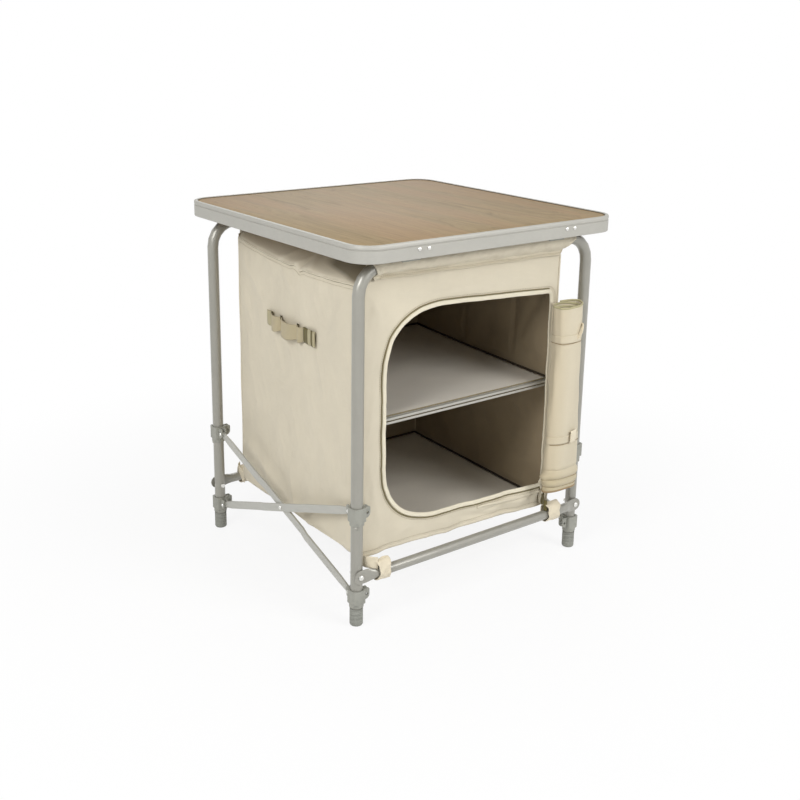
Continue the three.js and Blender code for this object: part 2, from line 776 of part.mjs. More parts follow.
// The doorway's outline, grown on every side by the given width
function doorwayOutline(grow) {
  const left = frontLeft + doorLeftMargin - grow;
  const right = frontRight - doorRightMargin + grow;
  const topLeft = sideTopHeight - doorTopLeftMargin + grow;
  const topRight = sideTopHeight - doorTopRightMargin + grow;
  const bottomLeft = bottomFrontLeft + doorFootLeftMargin - grow;
  const bottomRight = bottomFrontRight + doorFootRightMargin - grow;
  const small = doorSmallCorner + grow;
  const upperX = left + doorUpperCornerWidth + grow;
  const upperZ = topLeft - doorUpperCornerHeight - grow;
  const lowerX = left + doorLowerCornerWidth + grow;
  const lowerZ = bottomLeft + doorLowerCornerHeight + grow;
  const pull = doorCornerPullShare;
  const outline = new THREE.Path();
  outline.moveTo(right, bottomRight + small);
  outline.lineTo(right, topRight - small);
  outline.quadraticCurveTo(right, topRight, right - small, topRight);
  outline.lineTo(upperX, topLeft);
  outline.bezierCurveTo(mix(upperX, left, pull), topLeft, left, mix(upperZ, topLeft, pull), left, upperZ);
  outline.lineTo(left, lowerZ);
  outline.bezierCurveTo(left, mix(lowerZ, bottomLeft, pull), mix(lowerX, left, pull), bottomLeft, lowerX, bottomLeft);
  outline.lineTo(right - small, bottomRight);
  outline.quadraticCurveTo(right, bottomRight, right, bottomRight + small);
  return outline;
}

// Turns an outline drawn in XZ and pulled along its normal into a wall that starts at the given Y
function upright(geometry, y) {
  return geometry.rotateX(Math.PI / 2).translate(0, y, 0);
}

// A front or rear wall in the front frame's place, with its sleeve round the top tube
function framePanel(left, right, footLeft, footRight, openings) {
  const seam = topTubeHeight - seamDrop;
  const sleeveEnd = halfSpacingX - sleeveInset;
  const shape = new THREE.Shape();
  shape.moveTo(left, footLeft);
  shape.lineTo(right, footRight);
  shape.lineTo(right, sideTopHeight);
  shape.lineTo(Math.min(right, sleeveEnd), seam);
  shape.lineTo(-sleeveEnd, seam);
  shape.lineTo(left, sideTopHeight);
  shape.holes.push(...openings);
  const panel = upright(extrude(shape, clothThickness), wallBackY);
  const [tunnel, cut] = sleeve(Math.max(left, -sleeveEnd), Math.min(right + sleeveOverhang, sleeveEnd));
  return geometryOf(solidOf(tunnel).subtract(solidOf(cut)).add(solidOf(panel)));
}

// Piping and zip band round the doorway, on the wall's front face
function doorBinding() {
  const shape = new THREE.Shape(doorwayOutline(bindingWidth).getPoints(outlineSteps));
  shape.holes.push(new THREE.Path(doorwayOutline(0).getPoints(outlineSteps)));
  return upright(extrude(shape, bindingThickness), wallFaceY - seatGap);
}

const insideFrontY = wallBackY + seatGap;
const insideRearY = -wallBackY - seatGap;

// X of a side wall's outer face: straight from edge to edge, and drawn in a little at the middle
function wallFaceX(side, y, height) {
  const along = (y - insideFrontY) / (insideRearY - insideFrontY);
  const foot = mix(side < 0 ? bottomFrontLeft : bottomFrontRight, bottomRear, along);
  const up = THREE.MathUtils.clamp((height - foot) / (sideTopHeight - seatGap - foot), 0, 1);
  const draw = wallDraw * Math.sin(Math.PI * along) * Math.sin(Math.PI * up);
  return mix(side < 0 ? frontLeft : frontRight, side < 0 ? rearLeft : rearRight, along) - side * draw;
}

// A side wall from front to back
function sidePanel(side) {
  const frontFoot = side < 0 ? bottomFrontLeft : bottomFrontRight;
  const rows = shares(wallSteps).map((along) => {
    const y = mix(insideFrontY, insideRearY, along);
    return shares(wallSteps).map((up) => {
      const height = mix(mix(frontFoot, bottomRear, along), sideTopHeight - seatGap, up);
      return new THREE.Vector3(wallFaceX(side, y, height), y, height);
    });
  });
  return sheet(rows, new THREE.Vector3(-side * clothThickness, 0, 0));
}

// Roof: slopes in from both side seams to just under the level of the top tubes' upper sides
function roofPanel() {
  const top = topTubeHeight + roofRise;
  const startY = -halfSpacingY + sleeveOuter + seatGap;
  const rows = [0, 1].map((along) => {
    const left = mix(frontLeft, rearLeft, along);
    const right = mix(frontRight, rearRight, along);
    const y = mix(startY, -startY, along);
    return [
      new THREE.Vector3(left, y, sideTopHeight),
      new THREE.Vector3(left + roofSlope, y, top),
      new THREE.Vector3(right - roofSlope, y, top),
      new THREE.Vector3(right, y, sideTopHeight),
    ];
  });
  return sheet(rows, new THREE.Vector3(0, 0, clothThickness));
}

// A board across the cabinet between its four walls
function boardBetween(frontLeftHeight, frontRightHeight, rearHeight, thickness, frontGap, sag) {
  const inset = clothThickness + drapeGap;
  const rows = shares(wallSteps).map((along) => {
    const y = mix(insideFrontY + frontGap, insideRearY, along);
    const left = wallFaceX(-1, y, mix(frontLeftHeight, rearHeight, along)) + inset;
    const right = wallFaceX(1, y, mix(frontRightHeight, rearHeight, along)) - inset;
    return shares(wallSteps).map((across) => new THREE.Vector3(
      mix(left, right, across),
      y,
      mix(mix(frontLeftHeight, frontRightHeight, across), rearHeight, along)
        - sag * Math.sin(Math.PI * along) * Math.sin(Math.PI * across),
    ));
  });
  return sheet(rows, new THREE.Vector3(0, 0, -thickness));
}

// Grooved edge strip along the shelf's front
function shelfRail() {
  const depth = railDepth;
  const half = railHeight / 2;
  const shape = new THREE.Shape();
  shape.moveTo(0, -half);
  shape.lineTo(depth, -half);
  shape.lineTo(depth, half);
  shape.lineTo(0, half);
  shape.lineTo(0, railGroove / 2);
  shape.lineTo(railGrooveDepth, railGroove / 2);
  shape.lineTo(railGrooveDepth, -railGroove / 2);
  shape.lineTo(0, -railGroove / 2);
  const inset = clothThickness + seatGap;
  const skew = ((rearShift - frontShift) * railDepth) / (insideRearY - insideFrontY);
  const from = frontLeft + inset + skew;
  const to = frontRight - inset - skew;
  const rail = extrude(shape, to - from, from).rotateX(Math.PI / 2).rotateZ(Math.PI / 2);
  return rail.translate(0, insideFrontY, shelfHeight - half);
}

// How far the roll has spread at a height, and its half width there
function rollHalfWidth(share) {
  const i = Math.max(1, rollHeightShares.findIndex((place) => place >= share));
  const step = (share - rollHeightShares[i - 1]) / (rollHeightShares[i] - rollHeightShares[i - 1]);
  const spread = mix(rollSpreadShares[i - 1], rollSpreadShares[i], step);
  return mix(rollTopHalfWidth, rollFootHalfWidth, spread);
}

const rollCentreX = frontRight - doorRightMargin + rollOffset;
const rollCentreY = -topDepth / 2 + rollFrontClearance + rollHalfDepth;

// Rolled door: a wound cloth whose last turn laps over itself, wider towards the foot
function doorRoll() {
  const loops = rollHeightShares.map((share) => {
    const height = mix(rollFootHeight, rollTopHeight, share);
    const half = rollHalfWidth(share);
    return Array.from({ length: rollSides }, (_, i) => {
      const turn = (2 * Math.PI * i) / rollSides;
      const lap = rollLayer * (i / rollSides - 1);
      return new THREE.Vector3(
        rollCentreX + (half + lap) * Math.cos(turn + Math.PI / 2),
        rollCentreY + (rollHalfDepth + lap) * Math.sin(turn + Math.PI / 2),
        height,
      );
    });
  });
  const flap = boxBetween(
    new THREE.Vector3(rollCentreX - rollFlapThickness / 2, rollCentreY, tieHeights[0] + tieHeight),
    new THREE.Vector3(rollCentreX + rollFlapThickness / 2, wallFaceY - seatGap, tieHeights[1] - tieHeight),
  );
  const cutters = tieHeights.map((height) => tieBand(height, rollLayer, seatGap));
  return carve(loft(loops), [flap], cutters);
}

// A flat band round the roll, centred on a height
function tieBand(height, outset, margin) {
  const share = (height - rollFootHeight) / (rollTopHeight - rollFootHeight);
  const half = rollHalfWidth(share);
  const inner = -rollLayer - margin;
  const outline = new THREE.Shape(circlePoints(half + outset, rollHalfDepth + outset, rollSides));
  outline.holes.push(new THREE.Path(circlePoints(half + inner, rollHalfDepth + inner, rollSides)));
  const band = extrude(outline, tieHeight + 2 * margin, height - tieHeight / 2 - margin);
  return band.translate(rollCentreX, rollCentreY, 0);
}

// Carry handle on a side wall: two sewn tabs with a bowed grip between them
function handle(side) {
  const half = handleLength / 2;
  const gripHalf = half - handleTab;
  const places = [-half, -gripHalf];
  for (const share of shares(handleSteps).slice(1, -1)) {
    places.push(mix(-gripHalf, gripHalf, share));
  }
  places.push(gripHalf, half);
  const rows = places.map((along) => {
    const y = along + handleCentre;
    const swell = Math.abs(along) < gripHalf ? Math.cos((Math.PI * along) / (2 * gripHalf)) ** handleSwell : 0;
    const x = wallFaceX(side, y, handleHeight) + side * (drapeGap + handleBow * swell);
    return [-1, 1].map((edge) => new THREE.Vector3(x, y, handleHeight + (edge * handleWidth) / 2));
  });
  return sheet(rows, new THREE.Vector3(side * handleThickness, 0, 0));
}

// Webbing loop in the front frame's place: round the crossbar and up to the wall's lower edge
function crossbarLoop(wallFoot) {
  const inner = crossbarRadius + seatGap;
  const outer = inner + loopThickness;
  const centreY = -halfSpacingY - crossbarOffset;
  const ring = new THREE.Shape(circlePoints(outer, outer, loopSides).map((point) => point.add(new THREE.Vector2(centreY, crossbarHeight))));
  const band = extrude(ring, loopWidth, -loopWidth / 2);
  const tongue = new THREE.Shape();
  const lift = outer / Math.SQRT2;
  const rise = wallFoot - seatGap;
  tongue.moveTo(centreY + lift, crossbarHeight + lift - loopThickness);
  tongue.lineTo(wallBackY, rise - 2 * loopThickness);
  tongue.lineTo(wallBackY, rise);
  tongue.lineTo(wallFaceY, rise);
  tongue.lineTo(centreY + lift / 2, crossbarHeight + outer);
  tongue.lineTo(centreY, crossbarHeight + inner);
  const bore = boreAlong("z", inner, -loopWidth, loopWidth, loopSides).translate(centreY, crossbarHeight, 0);
  const loop = carve(band, [extrude(tongue, loopWidth, -loopWidth / 2)], [bore]);
  return loop.rotateX(Math.PI / 2).rotateZ(Math.PI / 2);
}

const table = new THREE.Group();
const frames = { front: new THREE.Group(), rear: new THREE.Group() };
frames.rear.rotation.z = Math.PI;
table.add(frames.front, frames.rear);

function place(group, name, geometry, material, x = 0, y = 0, z = 0) {
  const mesh = new THREE.Mesh(geometry, material);
  mesh.name = name;
  mesh.position.set(x, y, z);
  group.add(mesh);
  return mesh;
}

// Both frames: tube, crossbar, and on each leg a foot, a collar, a slider, their rivets and the bolt
const collarGeometry = collar();
const pinGeometry = rivetAlongX(pinDiameter, pinHeadDiameter, pinHeadHeight, earWidth + 2 * seatGap);
for (const [end, group] of Object.entries(frames)) {
  place(group, `${end}_tube`, frameTube(), materials.tube);
  place(group, `${end}_crossbar`, crossbar(), materials.tube, 0, -halfSpacingY - crossbarOffset, crossbarHeight);
}
for (const { name, frame, side } of legs) {
  const group = frames[frame];
  const x = side * halfSpacingX;
  place(group, `foot_${name}`, foot(), materials.plastic, x, -halfSpacingY, 0);
  place(group, `bolt_${name}`, crossbarBolt(), materials.steel, x, -halfSpacingY, crossbarHeight);
  for (const [level, height] of [["collar", lowerPivotHeight], ["slider", upperPivotHeight]]) {
    const piece = place(group, `${level}_${name}`, collarGeometry.clone(), materials.plastic, x, -halfSpacingY, height);
    piece.rotation.z = side > 0 ? Math.PI / 2 : 0;
    const pin = level === "collar" ? "lower" : "upper";
    place(group, `pin_${name}_${pin}`, pinGeometry.clone(), materials.steel, x, pivotOffset - halfSpacingY, height);
  }
}

// The scissors: on each side an inner bar rising to the back and an outer bar rising to the front
const middleHeight = (lowerPivotHeight + upperPivotHeight) / 2;
const openAngle = Math.atan2(upperPivotHeight - lowerPivotHeight, 2 * (halfSpacingY - pivotOffset));
const crossingGrip = 2 * barThickness + barGap + 2 * seatGap;
for (const [name, side] of [["left", -1], ["right", 1]]) {
  for (const [kind, slope, aside] of [["inner", 1, -side], ["outer", -1, side]]) {
    const bar = scissorBar();
    if (aside > 0) {
      bar.rotateX(Math.PI);
    }
    bar.rotateZ(Math.PI / 2);
    const mesh = place(table, `${name}_${kind}_bar`, bar, materials.bar, side * halfSpacingX, 0, middleHeight);
    mesh.rotation.x = slope * openAngle;
  }
  const rivet = rivetAlongX(pinDiameter, pinHeadDiameter, pinHeadHeight, crossingGrip);
  place(table, `${name}_centre_rivet`, rivet, materials.steel, side * halfSpacingX, 0, middleHeight);
}

// The lift-off top
place(table, "table_board", tableBoard(), materials.board);
place(table, "table_rim", tableRim(), materials.aluminium);
for (const [end, group] of Object.entries(frames)) {
  for (const side of [-1, 1]) {
    const hand = (end === "front") === (side < 0) ? "left" : "right";
    place(group, `bracket_${end}_${hand}`, bracket(), materials.plastic, (side * bracketSpacing) / 2, 0, 0);
  }
}

// The cabinet
const frontPanel = framePanel(frontLeft, frontRight, bottomFrontLeft, bottomFrontRight, [doorwayOutline(0)]);
place(table, "front_panel", frontPanel, materials.cloth);
place(frames.rear, "rear_panel", framePanel(-rearRight, -rearLeft, bottomRear, bottomRear, []), materials.cloth);
place(table, "left_panel", sidePanel(-1), materials.cloth);
place(table, "right_panel", sidePanel(1), materials.cloth);
place(table, "roof_panel", roofPanel(), materials.cloth);
place(table, "door_binding", doorBinding(), materials.webbing);
place(table, "door_roll", doorRoll(), materials.cloth);
tieHeights.forEach((height, i) => {
  place(table, `door_tie_${i + 1}`, tieBand(height, tieThickness - rollLayer / 2, -seatGap), materials.webbing);
});
const shelf = boardBetween(shelfHeight, shelfHeight, shelfHeight, shelfThickness, railDepth + seatGap, shelfSag);
place(table, "shelf_board", shelf, materials.lining);
place(table, "shelf_rail", shelfRail(), materials.aluminium);
const floor = boardBetween(
  bottomFrontLeft + floorRise,
  bottomFrontRight + floorRise,
  bottomRear + floorRise,
  floorThickness,
  0,
  0,
);
place(table, "floor_board", floor, materials.lining);
for (const [name, side] of [["left", -1], ["right", 1]]) {
  place(table, `handle_${name}`, handle(side), materials.webbing);
}
for (const { name, frame, side } of legs) {
  const shift = frame === "front" ? frontShift : -rearShift;
  const reach = crossbarRoundEnd - loopWidth / 2 - seatGap;
  const x = THREE.MathUtils.clamp(shift + side * (cabinetWidth / 2 - loopInset), -reach, reach);
  const share = (x - shift + loopWidth / 2) / cabinetWidth + 0.5;
  const foot = frame === "front" ? mix(bottomFrontLeft, bottomFrontRight, share) : bottomRear;
  place(frames[frame], `loop_${name}`, crossbarLoop(foot), materials.webbing, x, 0, 0);
}

export default table;
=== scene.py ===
import math

import bmesh
import bpy
import numpy as np
from mathutils import Matrix, Vector


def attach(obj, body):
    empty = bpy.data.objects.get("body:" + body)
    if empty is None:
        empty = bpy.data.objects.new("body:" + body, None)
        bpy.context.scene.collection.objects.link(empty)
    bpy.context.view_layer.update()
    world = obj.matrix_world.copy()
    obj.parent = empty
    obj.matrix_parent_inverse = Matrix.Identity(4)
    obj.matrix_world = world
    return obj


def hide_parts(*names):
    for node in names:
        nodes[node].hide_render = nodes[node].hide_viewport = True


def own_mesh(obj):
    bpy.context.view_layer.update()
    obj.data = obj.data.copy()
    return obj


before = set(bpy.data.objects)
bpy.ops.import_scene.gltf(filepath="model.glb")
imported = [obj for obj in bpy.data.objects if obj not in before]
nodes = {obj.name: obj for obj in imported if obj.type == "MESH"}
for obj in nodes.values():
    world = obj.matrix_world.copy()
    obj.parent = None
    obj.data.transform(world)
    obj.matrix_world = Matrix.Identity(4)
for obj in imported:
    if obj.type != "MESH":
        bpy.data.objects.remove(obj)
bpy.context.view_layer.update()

# Camera at the photograph's place, solved in frame widths from the front left leg
FRAME_WIDTH, LEG_X, LEG_Y = 0.54, 0.27, 0.25
AZIMUTH, ELEVATION, CAMERA_ROLL = math.radians(-37.767), math.radians(15.965), math.radians(1.0)
AIM, DISTANCE, ASIDE, ABOVE = Vector((0.5, 0.4, 0.55)), 4.1958, -0.0205, 0.2510
FOCAL_PIXELS, PHOTO_PIXELS, SENSOR = 1122.2, 800, 36


def place_camera():
    level = math.cos(ELEVATION)
    back = Vector((math.sin(AZIMUTH) * level, -math.cos(AZIMUTH) * level, math.sin(ELEVATION)))
    right = (-back).cross(Vector((0, 0, 1))).normalized()
    up = right.cross(-back).normalized()
    at = AIM + back * DISTANCE + right * ASIDE + up * ABOVE
    at = (at.x * FRAME_WIDTH - LEG_X, at.y * FRAME_WIDTH - LEG_Y, at.z * FRAME_WIDTH)
    across = right * math.cos(CAMERA_ROLL) + up * math.sin(CAMERA_ROLL)
    high = -right * math.sin(CAMERA_ROLL) + up * math.cos(CAMERA_ROLL)
    data = bpy.data.cameras.new("camera")
    camera = bpy.data.objects.new("camera", data)
    bpy.context.scene.collection.objects.link(camera)
    camera.matrix_world = Matrix([(*across, 0), (*high, 0), (*back, 0), (*at, 1)]).transposed()
    data.sensor_width = SENSOR
    data.lens = FOCAL_PIXELS / PHOTO_PIXELS * SENSOR
    data.shift_y = -0.075
    data.clip_start, data.clip_end = 0.05, 50
    bpy.context.scene.camera = camera
    bpy.context.scene.view_settings.view_transform = "Standard"


place_camera()


# Colours and node helpers
def srgb(text):
    """A colour written as in an image editor, as linear values."""
    values = [int(text[i:i + 2], 16) / 255 for i in (0, 2, 4)]
    return tuple(v / 12.92 if v <= 0.04045 else ((v + 0.055) / 1.055) ** 2.4 for v in values) + (1.0,)


def shade(colour, factor):
    return tuple(c * factor for c in colour[:3]) + (1.0,)


class Graph:
    """A node tree, with short calls to make and link its nodes."""

    def __init__(self, owner, output="OutputMaterial"):
        owner.use_nodes = True
        self.owner = owner
        self.tree = owner.node_tree
        self.tree.nodes.clear()
        self.out = self.node(output)

    def node(self, kind, inputs=None, **settings):
        made = self.tree.nodes.new("ShaderNode" + kind)
        for key, value in settings.items():
            setattr(made, key, value)
        for key, value in (inputs or {}).items():
            self.put(made.inputs[key], value)
        return made

    def put(self, socket, value):
        if isinstance(value, bpy.types.NodeSocket):
            self.tree.links.new(value, socket)
        else:
            socket.default_value = value

    def end(self, shader):
        self.put(self.out.inputs[0], shader.outputs[0])

    def coords(self, kind="Object", scale=(1, 1, 1), rotation=(0, 0, 0)):
        source = self.node("TexCoord").outputs[kind]
        return self.node("Mapping", {"Vector": source, "Scale": scale, "Rotation": rotation}).outputs[0]

    def place(self):
        """The X, Y and Z of a point, as three outputs."""
        return self.node("SeparateXYZ", {0: self.node("TexCoord").outputs["Object"]}).outputs

    def noise(self, vector, scale, detail=3, roughness=0.55):
        inputs = {"Vector": vector, "Scale": scale, "Detail": detail, "Roughness": roughness}
        return self.node("TexNoise", inputs).outputs["Fac"]

    def math(self, operation, a, b=0.0, clamp=False):
        return self.node("Math", {0: a, 1: b}, operation=operation, use_clamp=clamp).outputs[0]

    def scaled(self, value, factor, base):
        """The value times a factor, on top of a base."""
        return self.math("ADD", self.math("MULTIPLY", value, factor), base)

    def past(self, value, start, width):
        """0 to 1 as the value passes the start, over a width."""
        return self.math("DIVIDE", self.math("SUBTRACT", value, start), width, clamp=True)

    def ramp(self, fac, *stops):
        made = self.node("ValToRGB", {"Fac": fac})
        elements = made.color_ramp.elements
        while len(elements) < len(stops):
            elements.new(0.5)
        for element, (place, colour) in zip(elements, stops):
            element.position = place
            element.color = colour
        return made.outputs["Color"]

    def mix(self, fac, a, b, kind="MIX"):
        made = self.node("Mix", data_type="RGBA", blend_type=kind)
        for slot, value in ((0, fac), (6, a), (7, b)):
            self.put(made.inputs[slot], value)
        return made.outputs[2]


class Surface(Graph):
    """A material with one principled shader."""

    def __init__(self, name):
        super().__init__(bpy.data.materials.new(name))
        self.shader = self.node("BsdfPrincipled")
        self.end(self.shader)

    def set(self, **values):
        for key, value in values.items():
            self.put(self.shader.inputs[key.replace("_", " ")], value)
        return self.owner

    def bump(self, height, strength, distance, under=None):
        made = self.node("Bump", {"Height": height, "Strength": strength, "Distance": distance})
        if under is not None:
            self.put(made.inputs["Normal"], under)
        self.set(Normal=made.outputs[0])
        return made.outputs[0]


# Materials
WHITE, BLACK = (1, 1, 1, 1), (0, 0, 0, 1)
THREADS_PER_SCALE = 6.3


def fabric(name, colour, stain=0.05, thread=1600, rough=0.9, sheen=0.15, overlay=None):
    """Woven cloth: crossed threads, soft mottling, a little sheen."""
    g = Surface(name)
    wave = {"Vector": g.coords("UV"), "Scale": thread / THREADS_PER_SCALE, "Distortion": 0.6, "Detail": 1.0}
    warp, weft = (g.node("TexWave", wave, bands_direction=way).outputs["Fac"] for way in "XY")
    weave = g.math("MAXIMUM", warp, weft)
    body = g.coords()
    slub = g.noise(g.coords("UV", (60, 1400, 1)), 1.0, 2)
    patches = g.noise(body, 9, 4, 0.6)
    tone = g.ramp(patches, (0.25, shade(colour, 1 - stain)), (0.75, shade(colour, 1 + stain * 0.6)))
    tone = g.mix(0.10, tone, g.ramp(weave, (0.1, shade(colour, 0.72)), (0.9, shade(colour, 1.12))))
    tone = g.mix(0.08, tone, g.ramp(slub, (0.3, shade(colour, 0.75)), (0.7, shade(colour, 1.1))))
    if overlay:
        tone = overlay(g, tone)
    g.bump(weave, 0.25, 0.0003, g.bump(g.noise(body, 55, 4, 0.6), 0.35, 0.0012))
    return g.set(Base_Color=tone, Roughness=rough, Sheen_Weight=sheen, Sheen_Roughness=0.5,
                 Specular_IOR_Level=0.25)


def roof_painted_shade(g, tone):
    """Painted shade on the roof beside the left bend of the front tube, where the table's rim shades it."""
    place = g.place()
    from_seam = g.math("ADD", g.math("SUBTRACT", place["X"], g.math("MULTIPLY", place["Y"], 0.0823)), 0.2382)
    start = g.scaled(place["Y"], 0.164, 0.0351)
    side = g.math("MULTIPLY", g.past(from_seam, start, 0.009), g.past(0.085, from_seam, 0.03))
    share = g.math("MULTIPLY", side, g.past(-0.066, place["Y"], 0.04))
    return g.mix(g.math("MULTIPLY", share, 0.7), tone, srgb("5E5233"))


def roll_painted_shade(g, tone):
    """Painted shade: darker and warmer towards the roll's left side, and olive and darker at its bunched
    foot.
    """
    place = g.place()
    tone = g.mix(g.math("MULTIPLY", g.past(0.196, place["X"], 0.03), 0.4), tone, srgb("BFAE8C"))
    return g.mix(g.math("MULTIPLY", g.past(0.212, place["Z"], 0.03), 0.4), tone, srgb("A89A74"))


def metal(name, colour, rough=0.4, metallic=0.6, brushed=(1, 1, 1), grain=0.06, coat=0.0):
    """Coated or bare metal with faint drawing lines and handling marks."""
    g = Surface(name)
    lines = g.noise(g.coords("Object", brushed), 90, 3, 0.6)
    marks = g.noise(g.coords(), 22, 5, 0.65)
    tone = g.ramp(lines, (0.3, shade(colour, 1 - grain)), (0.7, shade(colour, 1 + grain)))
    tone = g.mix(0.25, tone, g.ramp(marks, (0.35, shade(colour, 0.9)), (0.65, shade(colour, 1.05))))
    g.bump(lines, 0.05, 0.0004)
    return g.set(Base_Color=tone, Roughness=g.scaled(marks, 0.12, rough - 0.06), Metallic=metallic,
                 Coat_Weight=coat, Coat_Roughness=0.3)


def plastic(name, colour, rough=0.55):
    """Moulded plastic with a fine spark-eroded grain."""
    g = Surface(name)
    grain = g.noise(g.coords(), 900, 2)
    tone = g.ramp(g.noise(g.coords(), 40, 4), (0.3, shade(colour, 0.93)), (0.7, shade(colour, 1.05)))
    g.bump(grain, 0.2, 0.0003)
    return g.set(Base_Color=tone, Roughness=g.scaled(grain, 0.15, rough - 0.07))


def wood(name):
    """Pale oak laminate: long grain along Y, pores, and slow changes of tone across the boards."""
    g = Surface(name)
    warp = g.noise(g.coords("Object", (6, 1.2, 6)), 1.0, 3)
    bent = g.node("VectorMath", {0: g.coords("Object", (1, 0.055, 1)), 1: warp}, operation="ADD").outputs[0]
    fine = g.noise(g.coords("Object", (1, 0.03, 1)), 240, 3, 0.7)
    pores = g.noise(g.coords("Object", (1, 0.05, 1)), 620, 2, 0.5)
    broad = g.noise(g.coords("Object", (9.0, 1.0, 1), (0, 0, 0.06)), 1.6, 3)
    tone = g.ramp(g.noise(bent, 26, 6, 0.62), (0.26, srgb("80704D")), (0.44, srgb("A08E6B")),
                  (0.58, srgb("AA9874")), (0.74, srgb("8A7654")))
    salmon = g.ramp(broad, (0.44, BLACK), (0.56, WHITE))
    tone = g.mix(g.math("MULTIPLY", salmon, 0.6), tone, srgb("B0906F"))
    tone = g.mix(0.34, tone, g.ramp(fine, (0.3, srgb("6E5C3E")), (0.65, srgb("B7A17C"))))
    tone = g.mix(g.math("MULTIPLY", g.math("GREATER_THAN", pores, 0.64), 0.3), tone, srgb("6B5639"))
    dark = g.ramp(broad, (0.30, WHITE), (0.40, BLACK))
    tone = g.mix(g.math("MULTIPLY", dark, 0.3), tone, srgb("85744F"))
    tone = g.mix(1.0, tone, (0.80, 0.745, 0.645, 1.0), "MULTIPLY")
    g.bump(g.scaled(fine, 0.6, pores), 0.12, 0.0003)
    return g.set(Base_Color=tone, Roughness=g.scaled(fine, 0.15, 0.52), Specular_IOR_Level=0.25)


CREAM = srgb("D8CFBA")
M = {
    "cloth": fabric("cloth_cream", CREAM),
    "roof": fabric("cloth_roof", CREAM, overlay=roof_painted_shade),
    # The roll's cloth is the cream cloth painted darker and warmer: shade painted into its colour.
    "roll": fabric("cloth_roll_shaded", srgb("D0C6AF"), overlay=roll_painted_shade),
    # The walls' inner faces are darker than the outer cloth: partly a coated inner face, partly painted shade
    # for the cabinet's inside.
    "inside": fabric("cloth_inside", srgb("9C8C72"), 0.10, rough=0.8, sheen=0.05),
    "lining": fabric("lining_grey", srgb("D8D2C6"), 0.05, 2000, 0.75, 0.05),
    "tape": fabric("tape_cream", srgb("E4DCC6"), 0.04, 1200, 0.85, 0.2),
    "web": fabric("webbing", srgb("E0D5BD"), 0.06, 900, 0.85, 0.2),
    "strap": fabric("webbing_strap", srgb("B5A98B"), 0.08, 700, 0.85, 0.2),
    "olive": fabric("tape_olive", srgb("B1A888"), 0.08, 1000, 0.9, 0.2),
    "tab": fabric("tab_and_shade_olive", srgb("665D39"), 0.10, 800, 0.9, 0.15),
    "tack": fabric("tack_and_shade_olive", srgb("3F3A24"), 0.10, 1400, 0.9, 0.1),
    "zip": fabric("zip_olive", srgb("7D7353"), 0.10, 1400, 0.8, 0.1),
    "roll_hem": fabric("roll_hem", srgb("B3AC88"), 0.08, 1200, 0.9, 0.15),
    # Brown for the tape at the roll's foot, and for lines of painted shade in the roll's grooves and under
    # its ties.
    "brown": fabric("seam_and_shade_brown", srgb("9C8768"), 0.08, 1400, 0.9, 0.1),
    # Painted shade, laid as thin dark lines where an edge or a seam shades the cloth.
    "fold": fabric("fold_shadow", srgb("8F8468"), 0.08, 1400, 0.9, 0.1),
    # Near-black olive for dark lines of painted shade in creases, grooves and gaps.
    "shadow": fabric("painted_shade_dark", srgb("564A30"), 0.10, rough=0.9, sheen=0.0),
    # Near-black cloth for thin lines of painted shade in the gaps where the shelf and the floor meet the
    # walls.
    "piping": fabric("piping_shade_dark", srgb("3A3125"), 0.10, 1400, 0.8, 0.05),
    "thread": fabric("thread", srgb("B9AE95"), 0.04, 2400, 0.8, 0.1),
    "wood": wood("wood_laminate"),
    "rim": metal("rim_aluminium", srgb("B2B0A8"), 0.5, 0.3, (1, 1, 14), 0.05, 0.0),
    "tube": metal("tube_coated", srgb("9B9990"), 0.34, 0.25, (1, 1, 0.06), 0.04, 0.4),
    "bar": metal("bar_coated", srgb("B4B3AB"), 0.4, 0.25, (1, 0.06, 1), 0.05, 0.3),
    "steel": metal("steel_bright", srgb("E2E1DC"), 0.22, 0.85, (1, 1, 1), 0.05),
    "plastic": plastic("plastic_grey", srgb("9A9A91")),
    "foot": plastic("foot_grey", srgb("8E8F87"), 0.62),
}


# Mesh helpers, in millimetres
OUT = (0, -1, 0)


def mixed(a, b, t):
    return a + (b - a) * t


def lattice(us, vs):
    """Two tables with every pair of two rows of values, each an array or its first, last and count."""
    us, vs = (np.linspace(*row) if isinstance(row, tuple) else row for row in (us, vs))
    return np.meshgrid(us, vs, indexing="ij")


def xyz(x, y, z):
    """Points from their coordinates, of which some may be single numbers."""
    return np.stack(np.broadcast_arrays(x, y, z), -1)


def bump_at(value, centre, width, power=2):
    """1 at the centre, falling off to 0 past the width."""
    return np.exp(-((value - centre) / width) ** power)


def arch(t):
    """0 at both ends of 0 to 1 and 1 in the middle."""
    return np.sin(math.pi * np.clip(t, 0, 1))


def bumps(seed, size, count=14):
    """A smooth random field of two variables, about -1 to 1, with waves of about the given size."""
    rng = np.random.RandomState(seed)
    turn = rng.uniform(0, 2 * math.pi, count)
    wave = 2 * math.pi / (size * rng.uniform(0.6, 1.7, count))
    phase = rng.uniform(0, 2 * math.pi, count)

    def field(u, v):
        total = np.zeros(np.broadcast(u, v).shape)
        for t, k, p in zip(turn, wave, phase):
            total = total + np.sin(k * (u * math.cos(t) + v * math.sin(t)) + p)
        return total / math.sqrt(count / 2) * 0.6
    return field


